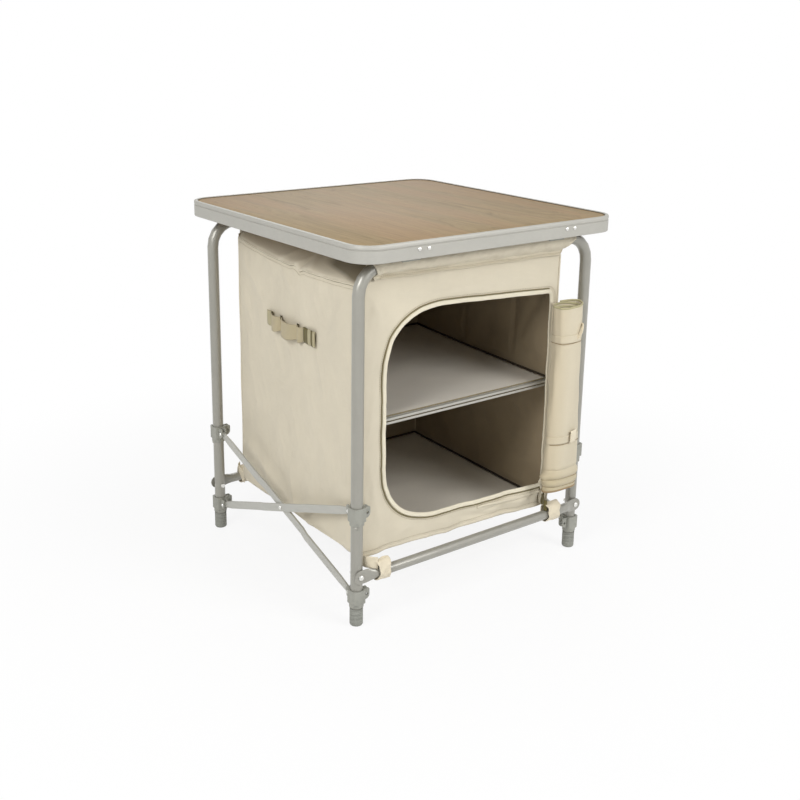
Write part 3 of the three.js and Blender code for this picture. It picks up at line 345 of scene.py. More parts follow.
def creases(u, v, table):
    """Soft ridges of cloth, each with its start, end, width and height, highest at its middle."""
    total, end_share, soft = 0.0, 0.02, 0.042
    for u0, v0, u1, v1, width, height in table:
        du, dv = u1 - u0, v1 - v0
        length = math.hypot(du, dv)
        along = ((u - u0) * du + (v - v0) * dv) / length ** 2
        aside = ((u - u0) * dv - (v - v0) * du) / length
        ends = 1 / (1 + np.exp((end_share - along) / soft)) / (1 + np.exp((along - 1 + end_share) / soft))
        total = total + height * ends * np.exp(-(aside / width) ** 2)
    return total


def lay_uv(mesh, places):
    """Gives each vertex its place on the flat cloth."""
    loops = np.zeros(len(mesh.loops), np.int64)
    mesh.loops.foreach_get("vertex_index", loops)
    layer = mesh.uv_layers.active or mesh.uv_layers.new(name="cloth")
    layer.data.foreach_set("uv", (np.asarray(places, float) / 1000)[loops].astype(np.float32).ravel())


def mesh_object(name, points, faces, looks, uv):
    mesh = bpy.data.meshes.new(name)
    mesh.from_pydata([tuple(p) for p in np.asarray(points, float) / 1000], [], faces)
    lay_uv(mesh, uv)
    for look in looks:
        mesh.materials.append(M[look])
    mesh.polygons.foreach_set("use_smooth", [True] * len(mesh.polygons))
    mesh.update()
    obj = bpy.data.objects.new(name, mesh)
    bpy.context.scene.collection.objects.link(obj)
    return obj


def lengths(points):
    """How far along a path each of its points lies."""
    return np.concatenate([[0], np.cumsum(np.linalg.norm(np.diff(points, axis=0), axis=1))])


def flat_places(along, across):
    return np.stack(lattice(along, across), -1).reshape(-1, 2)


def grid(name, P, looks, closed=False):
    """A quad grid through P[i, j], laid flat in real lengths. closed joins the last row to the first."""
    n, m = P.shape[:2]
    uv = flat_places(lengths(P[:, m // 2]), lengths(P[n // 2]))
    faces = []
    for i in range(n if closed else n - 1):
        k = (i + 1) % n
        faces += [(i * m + j, k * m + j, k * m + j + 1, i * m + j + 1) for j in range(m - 1)]
    return mesh_object(name, P.reshape(-1, 3), faces, looks, uv)


def fix_normals(obj, weld=False):
    bm = bmesh.new()
    bm.from_mesh(obj.data)
    if weld:
        bmesh.ops.remove_doubles(bm, verts=bm.verts, dist=1e-5)
    bmesh.ops.recalc_face_normals(bm, faces=bm.faces)
    bm.to_mesh(obj.data)
    bm.free()


def frames_along(path, closed, lead):
    """Side and up vectors along a path, turned as little as possible, or with the side near lead."""
    ahead = np.roll(path, -1, 0) if closed else np.vstack([path[1:], path[-1:] * 2 - path[-2:-1]])
    behind = np.roll(path, 1, 0) if closed else np.vstack([path[:1] * 2 - path[1:2], path[:-1]])
    tangent = ahead - behind
    tangent /= np.linalg.norm(tangent, axis=1)[:, None]
    side = np.zeros_like(path)
    guide = np.array(lead or (0, 0, 1.0))
    for i, t in enumerate(tangent):
        s = guide - (guide @ t) * t
        side[i] = s / max(np.linalg.norm(s), 1e-9)
        if not lead:
            guide = side[i]
    return side, np.cross(tangent, side)


def tube_faces(n, m, closed):
    """Quads between n rings of m points each."""
    faces = []
    for i in range(n if closed else n - 1):
        a, b = i * m, (i + 1) % n * m
        for j in range(m):
            k = (j + 1) % m
            faces.append((a + j, a + k, b + k, b + j))
    return faces


def sweep(name, path, section, looks, closed=False, lead=None, scale=1.0):
    """A section of (side, up) points carried along a path. lead keeps the side vector near one direction."""
    path = np.asarray(path, float)
    side, high = frames_along(path, closed, lead)
    scale = (np.ones(len(path)) * scale)[:, None, None]
    P = (path[:, None] + side[:, None] * section[None, :, :1] * scale
         + high[:, None] * section[None, :, 1:] * scale)
    n, m = P.shape[:2]
    faces = tube_faces(n, m, closed)
    if not closed:
        faces.append(tuple(range(m))[::-1])
        faces.append(tuple((n - 1) * m + j for j in range(m)))
    obj = mesh_object(name, P.reshape(-1, 3), faces, looks, flat_places(lengths(path), lengths(section)))
    fix_normals(obj)
    return obj


def oval(a, b, n=8, power=1.0):
    t = np.arange(n) * 2 * math.pi / n
    c, s = np.cos(t), np.sin(t)
    return np.stack([a * np.sign(c) * np.abs(c) ** power, b * np.sign(s) * np.abs(s) ** power], -1)


def resample(points, spacing=None, count=None, closed=False):
    points = np.asarray(points, float)
    if closed:
        points = np.vstack([points, points[:1]])
    at = lengths(points)
    count = count or max(2, int(round(at[-1] / spacing)) + 1)
    want = np.linspace(0, at[-1], count + (1 if closed else 0))[:count]
    return np.stack([np.interp(want, at, points[:, k]) for k in range(points.shape[1])], -1)


def smooth_curve(points, spacing):
    """A Catmull-Rom curve through the points, resampled at an even spacing."""
    P = np.asarray(points, float)
    P = np.vstack([2 * P[0] - P[1], P, 2 * P[-1] - P[-2]])
    out = []
    for i in range(1, len(P) - 2):
        a, b, c, d = P[i - 1:i + 3]
        for t in np.linspace(0, 1, 16, endpoint=False):
            out.append(0.5 * (2 * b + (c - a) * t + (2 * a - 5 * b + 4 * c - d) * t ** 2
                              + (3 * b - a - 3 * c + d) * t ** 3))
    out.append(P[-2])
    return resample(out, spacing)


def bezier(a, b, c, d, count=40):
    t = np.linspace(0, 1, count)[:, None]
    a, b, c, d = (np.array(p, float) for p in (a, b, c, d))
    return a * (1 - t) ** 3 + 3 * b * t * (1 - t) ** 2 + 3 * c * t ** 2 * (1 - t) + d * t ** 3


# Finishing of the pieces
# Squash settings for the cloth between the frames, and a smaller one for the inner pieces, meant to stop a
# little short of the rear wall; finish_piece only gives such a piece a mesh of its own
FOLD = ("fold", (0, 1, 0), (0, -0.2388, 0))
SQUASH, INNER_SQUASH = (*FOLD, 0.162), (*FOLD, 0.157)


def finish_piece(obj, body, squash=None):
    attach(obj, body)
    if squash:
        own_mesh(obj)


def trim(name, path, section, look, slot="webbing", body="front_frame", squash=None, node=None, **more):
    """A thin piece whose section runs along a path."""
    obj = sweep(name, path, section, [look], **more)
    if node:
        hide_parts(node)
    finish_piece(obj, body, squash)


def turn_out(obj, direction):
    """Turns every face over if the mesh as a whole faces away from the direction."""
    d = Vector(direction)
    if sum((p.normal.dot(d) * p.area for p in obj.data.polygons), 0.0) < 0:
        obj.data.flip_normals()
    return obj


def turn_round(obj, centre, axes):
    """Turns every face over if the mesh faces towards its centre line; axes are the two that count."""
    total = 0.0
    for p in obj.data.polygons:
        away = np.array(p.center) * 1000 - centre
        total += p.area * sum(p.normal[k] * away[k] for k in axes)
    if total < 0:
        obj.data.flip_normals()
    return obj


def sew(obj, thickness, offset=-1, inner=0, node=None, body="front_frame",
        squash=None, even=True):
    """Gives a sheet its thickness, from its outside inwards, and says where it belongs."""
    mod = obj.modifiers.new("thickness", "SOLIDIFY")
    mod.thickness = thickness / 1000
    mod.offset = offset
    mod.use_even_offset = even
    mod.thickness_clamp = 1.0
    if inner:
        mod.material_offset = inner
        mod.material_offset_rim = 0
    if node:
        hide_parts(node)
    finish_piece(obj, body, squash)


def stitches(name, path, outward=OUT, squash=None):
    """A row of stitches lying on cloth along a path."""
    pitch, length, radius, lift, sides = 4.2, 2.8, 0.45, 0.25, 5
    rings = ((-0.5, 0.35), (-0.3, 1), (0.3, 1), (0.5, 0.35))
    path = resample(path, pitch)
    n = np.array(outward, float)
    points, faces = [], []
    for start, end in zip(path[:-1], path[1:]):
        size = np.linalg.norm(end - start)
        d = (end - start) / size
        s = np.cross(d, n)
        base = len(points)
        for along, r in rings:
            c = start + d * size * 0.5 + d * length * along + n * lift * r
            for t in np.arange(sides) * 2 * math.pi / sides:
                points.append(c + (s * math.cos(t) + n * math.sin(t)) * radius * r)
        for ring in range(len(rings) - 1):
            for k in range(sides):
                a, b = base + ring * sides + k, base + ring * sides + (k + 1) % sides
                faces.append((a, a + sides, b + sides, b))
        last = base + sides * (len(rings) - 1)
        faces += [tuple(range(base, base + sides)), tuple(range(last, last + sides))[::-1]]
    obj = mesh_object(name, points, faces, ["thread"], [(p[0], p[2]) for p in points])
    fix_normals(obj)
    finish_piece(obj, "front_frame", squash)


# The cabinet's measures: corners in X, feet, seams and the tubes it hangs on
FRONT_L, FRONT_R, REAR_L, REAR_R = -256.5, 209.5, -217.0, 249.0
FOOT_FL, FOOT_FR, FOOT_REAR, SIDE_TOP, SEAM = 124.0, 110.0, 102.0, 622.0, 631.0
Y_FRONT, Y_REAR = -240.0, 240.0
TUBE_Z, TUBE_Y = 655.0, 250.0
BEND_X, BEND_Z, BEND_R = 222.0, 607.0, 48.0
SHELF_Z = 374.0
FLOOR_FL, FLOOR_FR, FLOOR_REAR = 129.0, 115.0, 107.0
CLOTH = 1.2
SIDES, ENDS = {-1: "left", 1: "right"}, {-1: "front", 1: "rear"}


def corner_x(side, end):
    """Where a corner of the cabinet stands in X. side -1 is the left, end -1 the front."""
    return {(-1, -1): FRONT_L, (1, -1): FRONT_R, (-1, 1): REAR_L, (1, 1): REAR_R}[side, end]


def depth_share(y):
    return (y - Y_FRONT) / (Y_REAR - Y_FRONT)


def side_foot(side, y):
    return mixed(FOOT_FL if side < 0 else FOOT_FR, FOOT_REAR, depth_share(y))


def side_top(side, y):
    """Height of the seam between a side wall and the roof, which sags between the frames."""
    t = depth_share(y)
    nick = 4.5 * bump_at(y, -22, 8) - 3.0 * bump_at(y, 3, 10)
    return mixed(SIDE_TOP, SIDE_TOP + 3, t) - 13.5 * arch(t) ** 0.8 - (nick if side < 0 else 0)


def wall_x(side, y, z):
    """Outer face of a side wall, drawn in a little at its middle."""
    t = depth_share(y)
    foot = side_foot(side, y)
    draw = 4.0 * arch(t) * arch((z - foot) / (SIDE_TOP - foot))
    return mixed(corner_x(side, -1), corner_x(side, 1), t) - side * draw


def floor_z(side, y):
    return mixed(FLOOR_FL if side < 0 else FLOOR_FR, FLOOR_REAR, depth_share(y))


def on_wall(side, y, z, lift):
    """Places on a side wall, lifted off it."""
    return xyz(wall_x(side, y, z) + side * lift, y, z)


def doorway(grow=0.0, count=340):
    """The doorway's outline in X and Z, anticlockwise seen from the front, evenly spaced."""
    left, right = -203.5 - grow, 190.5 + grow
    top_l, top_r, foot_l, foot_r = 566 + grow, 553 + grow, 168 - grow, 158 - grow
    small, pull = 14 + grow, 0.66
    up_x, up_z, low_x, low_z = left + 128 + grow, top_l - 112 - grow, left + 135 + grow, foot_l + 122 + grow

    def corner(a, b, c):
        a, b, c = (np.array(p, float) for p in (a, b, c))
        return bezier(a, a + (b - a) * 2 / 3, c + (b - c) * 2 / 3, c)
    return resample(np.vstack([
        [(right, foot_r + small), (right, top_r - small)],
        corner((right, top_r - small), (right, top_r), (right - small, top_r)),
        [(right - small, top_r), (up_x, top_l)],
        bezier((up_x, top_l), (mixed(up_x, left, pull), top_l), (left, mixed(up_z, top_l, pull)),
               (left, up_z)),
        [(left, up_z), (left, low_z)],
        bezier((left, low_z), (left, mixed(low_z, foot_l, pull)), (mixed(low_x, left, pull), foot_l),
               (low_x, foot_l)),
        [(low_x, foot_l), (right - small, foot_r)],
        corner((right - small, foot_r), (right, foot_r), (right, foot_r + small)),
    ]), count=count, closed=True)


# Front wall: its creases as start, end, width and height
FRONT_CREASES = [
    (150, 128, 60, 150, 7, 2.4), (120, 118, -20, 140, 6, -1.6), (56, 143, 186, 148, 3.0, 2.4),
    (40, 137, 186, 141, 2.6, -1.6), (188, 158, 172, 122, 3.2, 2.6), (196, 160, 186, 118, 3.0, -2.6),
    (203, 170, 197, 116, 3.2, 2.6), (178, 154, 150, 124, 3.4, -1.8), (-220, 612, -110, 585, 9, 1.6),
    (-232, 590, -190, 470, 8, 1.2), (-246, 610, -214, 560, 5, 1.6), (-238, 300, -216, 180, 7, 1.4),
    (-180, 600, 20, 588, 8, 1.0), (60, 600, 200, 572, 8, 1.2),
]
front_soft, front_fine = bumps(3, 70), bumps(4, 24)


def front_y(x, z):
    """How far the front wall stands off its plane, outwards positive."""
    low = np.clip((240 - z) / 130, 0, 1)
    d = 1.1 * front_soft(x, z) + 0.4 * front_fine(x, z)
    d = d + low * (1.6 * np.sin(x / 21.0 + 0.6 * np.sin(x / 47)) + 0.7 * np.sin(x / 9.0 + 1.1))
    d = d + creases(x, z, FRONT_CREASES)
    edge = np.clip(np.minimum(x - FRONT_L, FRONT_R - x) / 18, 0, 1)
    return d * edge * np.clip((SEAM - z) / 16, 0, 1)


def front_foot(x):
    """Height of the front wall's lower hem."""
    t = (x - FRONT_L) / (FRONT_R - FRONT_L)
    return mixed(FOOT_FL, FOOT_FR, t) + (2.4 + 1.6 * np.sin(x / 31.0)) * np.sin(math.pi * t)


def front_line(x, z, lift=0.0):
    """Places on the front wall's face, lifted off it."""
    return xyz(x, Y_FRONT - front_y(x, z) - lift, z)


def front_wall():
    centre = np.array([-6.0, 362.0])
    corners = [(FRONT_R, FOOT_FR), (FRONT_R, SIDE_TOP), (FRONT_R, SEAM), (-225, SEAM), (FRONT_L, SIDE_TOP),
               (FRONT_L, FOOT_FL)]
    angle = np.unwrap(np.arctan2(*(doorway() - centre).T[::-1]))
    used = set()
    for x, z in corners:
        a = math.atan2(z - centre[1], x - centre[0])
        while a < angle[0]:
            a += 2 * math.pi
        nearest = next(int(k) for k in np.argsort(np.abs(angle - a)) if int(k) not in used)
        used.add(nearest)
        angle[nearest] = a

    def cast(a, outline):
        """Where a ray from the centre leaves the outline."""
        d = np.array([math.cos(a), math.sin(a)])
        best, tiny = 0.0, 1e-9
        for p, q in zip(outline[:-1], outline[1:]):
            e, w = q - p, p - centre
            den = d[0] * e[1] - d[1] * e[0]
            if abs(den) > tiny and -tiny <= (w[0] * d[1] - w[1] * d[0]) / den <= 1 + tiny:
                best = max(best, (w[0] * e[1] - w[1] * e[0]) / den)
        return centre + d * best
    hole = doorway(0, 1200)
    hole = np.vstack([hole, hole[:1]])
    ring = np.asarray(corners + corners[:1], float)
    inner, outer = (np.array([cast(a, outline) for a in angle]) for outline in (hole, ring))
    t = np.linspace(0, 1, 30)[None, :]
    x, z = (mixed(inner[:, None, k], outer[:, None, k], t) for k in (0, 1))
    straight = mixed(FOOT_FL, FOOT_FR, (x - FRONT_L) / (FRONT_R - FRONT_L))
    z = z + np.clip((200 - z) / 90, 0, 1) * (front_foot(x) - straight) * t
    P = front_line(x, z)
    wall = grid("front_wall", P, ["cloth", "inside"], closed=True)
    lay_uv(wall.data, P.reshape(-1, 3)[:, [0, 2]])
    sew(turn_out(wall, OUT), CLOTH, inner=1, node="front_panel")


def ridged(width, height, groove=0.5, count=22):
    """A sewn tape's section: two soft ridges beside a groove. Thickness first, width second."""
    t = np.arange(count) * 2 * math.pi / count
    across, out = np.cos(t), np.sin(t)
    across = np.sign(across) * np.abs(across) ** 0.8
    waist = 1 - groove * bump_at(across, 0, 0.22)
    return np.stack([out * height * np.where(out > 0, waist, 1), across * width / 2], -1)


def doorway_trim():
    """Binding round the doorway, the zip line outside it, their stitching and the fold below."""
    edge = doorway(2.4).T
    trim("door_binding_tape", front_line(*edge, 0.4), ridged(8.4, 2.4), "tape", node="door_binding",
         closed=True, lead=OUT)
    stitches("door_binding_stitches", front_line(*edge, 1.3))
    x, z = doorway(8.2).T
    keep = ~((x > 186) & (z > 175))
    order = np.roll(np.arange(len(x)), -int(np.argmax(~keep)))
    order = order[keep[order]]
    trim("door_zip", front_line(x[order], z[order], 0.7), oval(1.2, 1.3, 8, 0.8), "zip", lead=OUT)
    stitches("door_stitches", front_line(*doorway(12.0).T, 0.6))
    x = np.linspace(20, 184, 60)
    z = np.interp(x, [-70, 190], [168, 158]) - 17 + 1.5 * np.sin(x / 26)
    trim("door_lower_fold", front_line(x, z, 0.6), oval(1.7, 2.6, 10, 0.9), "cloth", "cloth", lead=OUT)


def front_hem():
    x = np.linspace(FRONT_L + 3, FRONT_R - 3, 220)
    trim("front_hem", front_line(x, front_foot(x) + 1.2, -0.6), oval(1.6, 2.8, 10, 0.8), "cloth", lead=OUT)
    stitches("front_hem_stitches", front_line(x, front_foot(x) + 9, 0.3))


def gathers():
    """Pinched folds where the wall is drawn in under the rolled door: each a dark line of painted shade in
    its crease, beside a pale pleat.
    """
    folds = [("a", (181, 164), (184, 116), 1.2), ("b", (190, 154), (187, 114), 2.4),
             ("c", (197, 158), (200, 113), 2.0), ("d", (204, 156), (206, 113), 1.4)]
    s = np.linspace(0, 1, 24)
    for label, top, foot, size in folds:
        x = mixed(top[0], foot[0], s) + 1.6 * np.sin(math.pi * s * 1.5)
        z = mixed(top[1], foot[1], s)
        thick = size * arch(s * 0.9 + 0.08) ** 0.6
        trim(f"front_gather_{label}", front_line(x, z, 0.15), oval(0.9, 1.1), "shadow", "cloth", lead=OUT,
             scale=thick)
        trim(f"front_pleat_{label}", front_line(x + 2.6, z, 0.3), oval(2.4, 1.7), "cloth", "cloth", lead=OUT,
             scale=thick)


front_wall()
doorway_trim()
front_hem()
gathers()


# Sleeves over the top tubes
def tube_station(u):
    """Centre (X, Z) and outward direction of the top tube at a distance u past the end of its left bend."""
    a = np.clip(-u, 0, None) / BEND_R
    x = np.where(u < 0, -BEND_X - BEND_R * np.sin(a), u - BEND_X)
    return x, BEND_Z + BEND_R * np.cos(a), -np.sin(a), np.cos(a)


def sleeve(end, start, stop, seed, cut_end):
    """Cloth tunnel over a top tube, drawn to its seam. end -1 is the front one."""
    soft, fine = bumps(seed, 38), bumps(seed + 1, 15)
    us = np.linspace(start, stop, 210)
    radius, seam_y, drop = 13.0, 8.7, SEAM - TUBE_Z
    over = [(radius * math.cos(a), radius * math.sin(a)) for a in np.radians(np.linspace(-8, 232, 30))]
    rows = []
    for low in drop - (5.0 * np.clip(us / 380, 0, 1) if end < 0 else 0 * us):
        near = [(seam_y + 0.3, drop), (seam_y + 0.3, drop + 6)]
        rows.append(resample(near + over + [(seam_y - 2.4, low + 9), (seam_y - 3.4, low)], count=48))
    S = np.array(rows)
    U, s = lattice(us, (0, 1, S.shape[1]))
    ends = bump_at(U, start, 15) + bump_at(U, stop, 18)
    lift = 0.8 * soft(U, s * 90) + 0.5 * fine(U, s * 90) + 0.5 + ends * (0.7 + 1.2 * np.sin(U / 2.7 + s * 9))
    front_side = np.clip((s - 0.62) / 0.2, 0, 1) * np.clip((1.0 - s) / 0.06, 0, 1)
    lift = lift + front_side * (1.2 + 0.9 * np.sin(U / 17 + 2 * np.sin(U / 53)))
    S = S + S / np.linalg.norm(S, axis=2)[..., None] * np.clip(lift, 0.15, 3.0)[..., None]
    cx, cz, ox, oz = tube_station(U)
    rise = S[..., 1]
    if cut_end:
        t = np.clip((U - (stop - cut_end)) / cut_end, 0, 1)
        rise = np.maximum(rise, np.where(t > 0, (drop - 5) * (1 - np.sin(t * math.pi / 2) ** 1.5), -99))
    P = xyz(-end * (cx + ox * rise), end * (TUBE_Y - S[..., 0]), cz + oz * rise)
    obj = turn_round(grid(f"{ENDS[end]}_sleeve", P, ["cloth", "inside"]), (0, end * TUBE_Y, TUBE_Z), (1, 2))
    sew(obj, 1.0, body=f"{ENDS[end]}_frame", even=False)


def sleeve_seam(end, left, right, drop):
    x = np.linspace(left, right, 200)
    z = SEAM - 0.5 - drop * np.clip((x + BEND_X) / 380, 0, 1) + 0.6 * np.sin(x / 19)
    path = xyz(x, end * (TUBE_Y - 4.9), z)
    trim(f"{ENDS[end]}_sleeve_seam", path, oval(1.3, 1.0), "cloth", "cloth", f"{ENDS[end]}_frame",
         lead=(0, end, 0))
    if end < 0:
        stitches("front_sleeve_stitches", path + np.array([0, -0.6, 4]))


def corner_gusset(side, end):
    """Cloth that closes an upper corner of the cabinet behind the tube's bend."""
    name = f"{'' if end < 0 else 'rear_'}{SIDES[side]}_corner_gusset"
    s, v = lattice((0, 1, 26), (0, 1, 14))
    x = corner_x(side, end) - side * (1.0 + 34 * s)
    high = mixed(SIDE_TOP + 2, 647, np.sin(np.clip(s * 1.6, 0, 1) * math.pi / 2))
    y = end * (239.4 - (3.4 if end < 0 else 0.6) * v) + 0.4 * np.sin(x / 3.5) * v
    P = xyz(x, y, mixed(SIDE_TOP - 3 + 9 * s, high, v))
    obj = turn_out(grid(name, P, ["cloth", "inside"]), (0, end, 0))
    sew(obj, 0.9, body=f"{ENDS[end]}_frame")


sleeve(-1, -21, 447, 11, 20)
sleeve(1, 4, 434, 21, 0)
sleeve_seam(-1, -222, 206, 5.0)
sleeve_seam(1, -208, 214, 0.0)
for end in ENDS:
    for side in SIDES:
        corner_gusset(side, end)


# Side walls, rear wall and roof, each with its creases as start, end, width and height
SIDE_CREASES = {
    -1: [(235, 600, 120, 500, 12, 2.6), (225, 540, 150, 430, 14, -1.8), (60, 606, 10, 560, 9, 2.6),
         (40, 604, 100, 560, 7, -2.0), (-120, 500, -190, 596, 10, 1.8), (100, 476, 60, 380, 10, 1.4),
         (-70, 470, -110, 390, 9, 1.5), (235, 200, 120, 160, 14, 2.4), (-220, 240, -120, 180, 16, 2.0),
         (0, 118, 30, 200, 10, 2.0), (-222, 600, -150, 520, 9, 2.0), (210, 440, 170, 260, 16, 1.6),
         (-215, 420, -190, 240, 12, 1.6)],
    1: [(200, 590, 90, 510, 12, 2.4), (-200, 560, -130, 430, 12, 2.0), (-220, 220, -80, 170, 14, 2.4),
        (180, 160, 60, 220, 14, 2.0), (-20, 606, 10, 540, 9, 2.4), (53, 600, 50, 382, 9, 2.6),
        (-115, 600, -112, 382, 8, 2.6), (-60, 330, -110, 200, 16, 2.0), (120, 350, 90, 180, 16, 1.8)],
}
REAR_CREASES = [(-205, 600, -90, 520, 12, 2.2), (235, 590, 120, 500, 12, 2.2),
                (-200, 140, -60, 200, 12, 2.0), (230, 130, 90, 190, 12, 2.0)]
ROOF_CREASES = [(2, 55, 40, 25, 8, 3.0), (2, -60, 36, -30, 9, 2.0), (2, -4, 44, -30, 5, 3.0)]


def edge_share(t, v, side_share, top_share):
    """0 at the sides and the top of a wall, and 1 a little inside them."""
    return np.clip(np.minimum(t, 1 - t) / side_share, 0, 1) * np.clip((1 - v) / top_share, 0, 1)


def side_wall(side, seed):
    soft, fine = bumps(seed, 95), bumps(seed + 1, 34)
    y, v = lattice((Y_FRONT + 0.8, Y_REAR - 0.8, 124), (0, 1, 130))
    t = depth_share(y)
    z = mixed(side_foot(side, y) + 1.5 * np.sin(y / 41) * np.sin(math.pi * t), side_top(side, y), v)
    d = 1.5 * soft(y, z) + 0.5 * fine(y, z) + creases(y, z, SIDE_CREASES[side])
    d = d + np.exp(-(1 - v) / 0.035) * 0.9 * np.sin(y / 5.5 + 2 * np.sin(y / 31))
    d = d + np.clip((0.22 - v) / 0.22, 0, 1) * 1.6 * np.sin(y / 17 + 1.3 * np.sin(y / 43))
    for board_z in (SHELF_Z, floor_z(side, y)):
        near = bump_at(z, board_z, 12, 4)
        d = d * (1 - near) + np.maximum(d, 0.4) * near
    P = on_wall(side, y, z, d * edge_share(t, v, 0.06, 0.03))
    obj = turn_out(grid(f"{SIDES[side]}_wall", P, ["cloth", "inside"]), (side, 0, 0))
    sew(obj, CLOTH, inner=1, node=f"{SIDES[side]}_panel", squash=SQUASH)


def rear_wave(x):
    return 1.5 * np.sin(x / 33) * np.sin(math.pi * (x - REAR_L) / (REAR_R - REAR_L))


def rear_wall():
    soft, fine = bumps(51, 90), bumps(52, 32)
    x, v = lattice((REAR_L, REAR_R, 120), (0, 1, 120))
    t = (x - REAR_L) / (REAR_R - REAR_L)
    top = np.where(x > 225, mixed(SEAM, SIDE_TOP, (x - 225) / 24), SEAM)
    z = mixed(FOOT_REAR + rear_wave(x), top, v)
    d = 1.2 * soft(x, z) + 0.45 * fine(x, z) + creases(x, z, REAR_CREASES)
    d = d + np.clip((0.2 - v) / 0.2, 0, 1) * 1.6 * np.sin(x / 19 + 1.3 * np.sin(x / 41))
    P = xyz(x, Y_REAR + d * edge_share(t, v, 0.05, 0.04), z)
    obj = turn_out(grid("rear_wall", P, ["cloth", "inside"]), (0, 1, 0))
    sew(obj, CLOTH, inner=1, node="rear_panel", body="rear_frame")


def roof():
    soft, fine = bumps(61, 60), bumps(62, 22)
    y, s = lattice((-236.2, 235.0, 110), (0, 1, 120))
    t = depth_share(y)
    left, right = mixed(FRONT_L, REAR_L, t) - 1.5, mixed(FRONT_R, REAR_R, t) + 1.5
    x = mixed(left, right, s)
    from_side = np.minimum(x - left, right - x)
    inner = np.clip(from_side / (40 + 42 * arch(t) ** 0.6), 0, 1)
    low = np.where(s < 0.5, side_top(-1, y), side_top(1, y)) + 0.5
    climb = inner ** 2 * (3 - 2 * inner)
    z = low + 7 * (1 - np.exp(-from_side / 5)) * (1 - climb) + (656 - low) * climb
    z = z + inner * (1.0 * soft(x, y) - 2.5 * arch(s) * arch(t)) + 0.4 * fine(x, y) * (0.3 + inner)
    z = z - 9 * bump_at(y, -206, 26) * bump_at(x - left, 30, 22) + creases(x - left, y, ROOF_CREASES)
    obj = turn_out(grid("roof", xyz(x, y, np.minimum(z, 662)), ["roof", "inside"]), (0, 0, 1))
    sew(obj, CLOTH, inner=1, node="roof_panel",
        squash=INNER_SQUASH)


side_wall(-1, 31)
side_wall(1, 41)
rear_wall()
roof()


# Seams at the corners, the feet and the roof's edges
def side_seams(side):
    label = SIDES[side]
    y = np.linspace(-237, 237, 200)
    top = side_top(side, y)
    ripple = 1.4 + 0.5 * np.sin(y / 13) + 0.4 * np.sin(y / 5.1)
    path = on_wall(side, y, top, ripple) - np.array([0, 0, 0.4])
    trim(f"{label}_top_seam", path, oval(1.5, 1.1), "cloth", "cloth", squash=SQUASH)
    below = path + np.array([-side * 0.5, 0, -1.9])
    # A thin dark line just below the seam: painted shade under the seam's ridge.
    trim(f"{label}_top_fold", below, oval(0.5, 0.5, 6), "fold", "cloth", squash=SQUASH)
    stitches(f"{label}_top_stitches", path + np.array([side * 0.2, 0, -8]), (side, 0, 0), SQUASH)
    foot = side_foot(side, y) + 1.5 * np.sin(y / 41) * np.cos(math.pi * y / 480)
    path = on_wall(side, y, foot, -0.6) + np.array([0, 0, 0.8])
    trim(f"{label}_foot_seam", path, oval(2.0, 1.6), "cloth", "cloth", squash=SQUASH)
    for end, sway, wave in ((-1, 0.4, 23), (1, 0.5, 29)):
        z = np.linspace(side_foot(side, end * Y_REAR) + 1, SIDE_TOP, 120)
        path = xyz(corner_x(side, end) - side * 0.6 + sway * np.sin(z / wave), end * 240.2, z)
        trim(f"{label}_{ENDS[end]}_seam", path, oval(1.9, 1.9), "cloth", "cloth", f"{ENDS[end]}_frame")


side_seams(-1)
side_seams(1)
rear_x = np.linspace(REAR_L + 2, REAR_R - 2, 150)
rear_path = xyz(rear_x, 239.6, FOOT_REAR + 0.8 + rear_wave(rear_x))
trim("rear_foot_seam", rear_path, oval(2.0, 1.6), "cloth", "cloth", "rear_frame")


# Shelf and floor
def board(name, node, heights, front_edge, thickness, sag, seed):
    """A stiffened, cloth-covered board with soft rounded edges."""
    rear_edge = 237.0
    front_left, front_right, rear = heights
    y, s = lattice((front_edge, rear_edge, 60), (0, 1, 60))
    t = depth_share(y)
    z = mixed(mixed(front_left, front_right, s), rear, t)
    x = mixed(wall_x(-1, y, z) + 3.2, wall_x(1, y, z) - 3.2, s)
    rim = np.minimum(np.minimum(s, 1 - s) * 460, np.minimum(y - front_edge, rear_edge - y))
    z = z - sag * np.sin(math.pi * t) * np.sin(math.pi * s) - 1.6 * np.exp(-rim / 2.2)
    z = z + 0.5 * bumps(seed, 80)(x, y) * np.clip(rim / 20, 0, 1)
    obj = turn_out(grid(name, xyz(x, y, z), ["lining"]), (0, 0, 1))
    sew(obj, thickness, node=node,
        squash=INNER_SQUASH)


def piping(name, points, radius, body="front_frame", squash=INNER_SQUASH, look="piping"):
    trim(name, resample(points, 5), oval(radius, radius), look, "lining", body, squash)


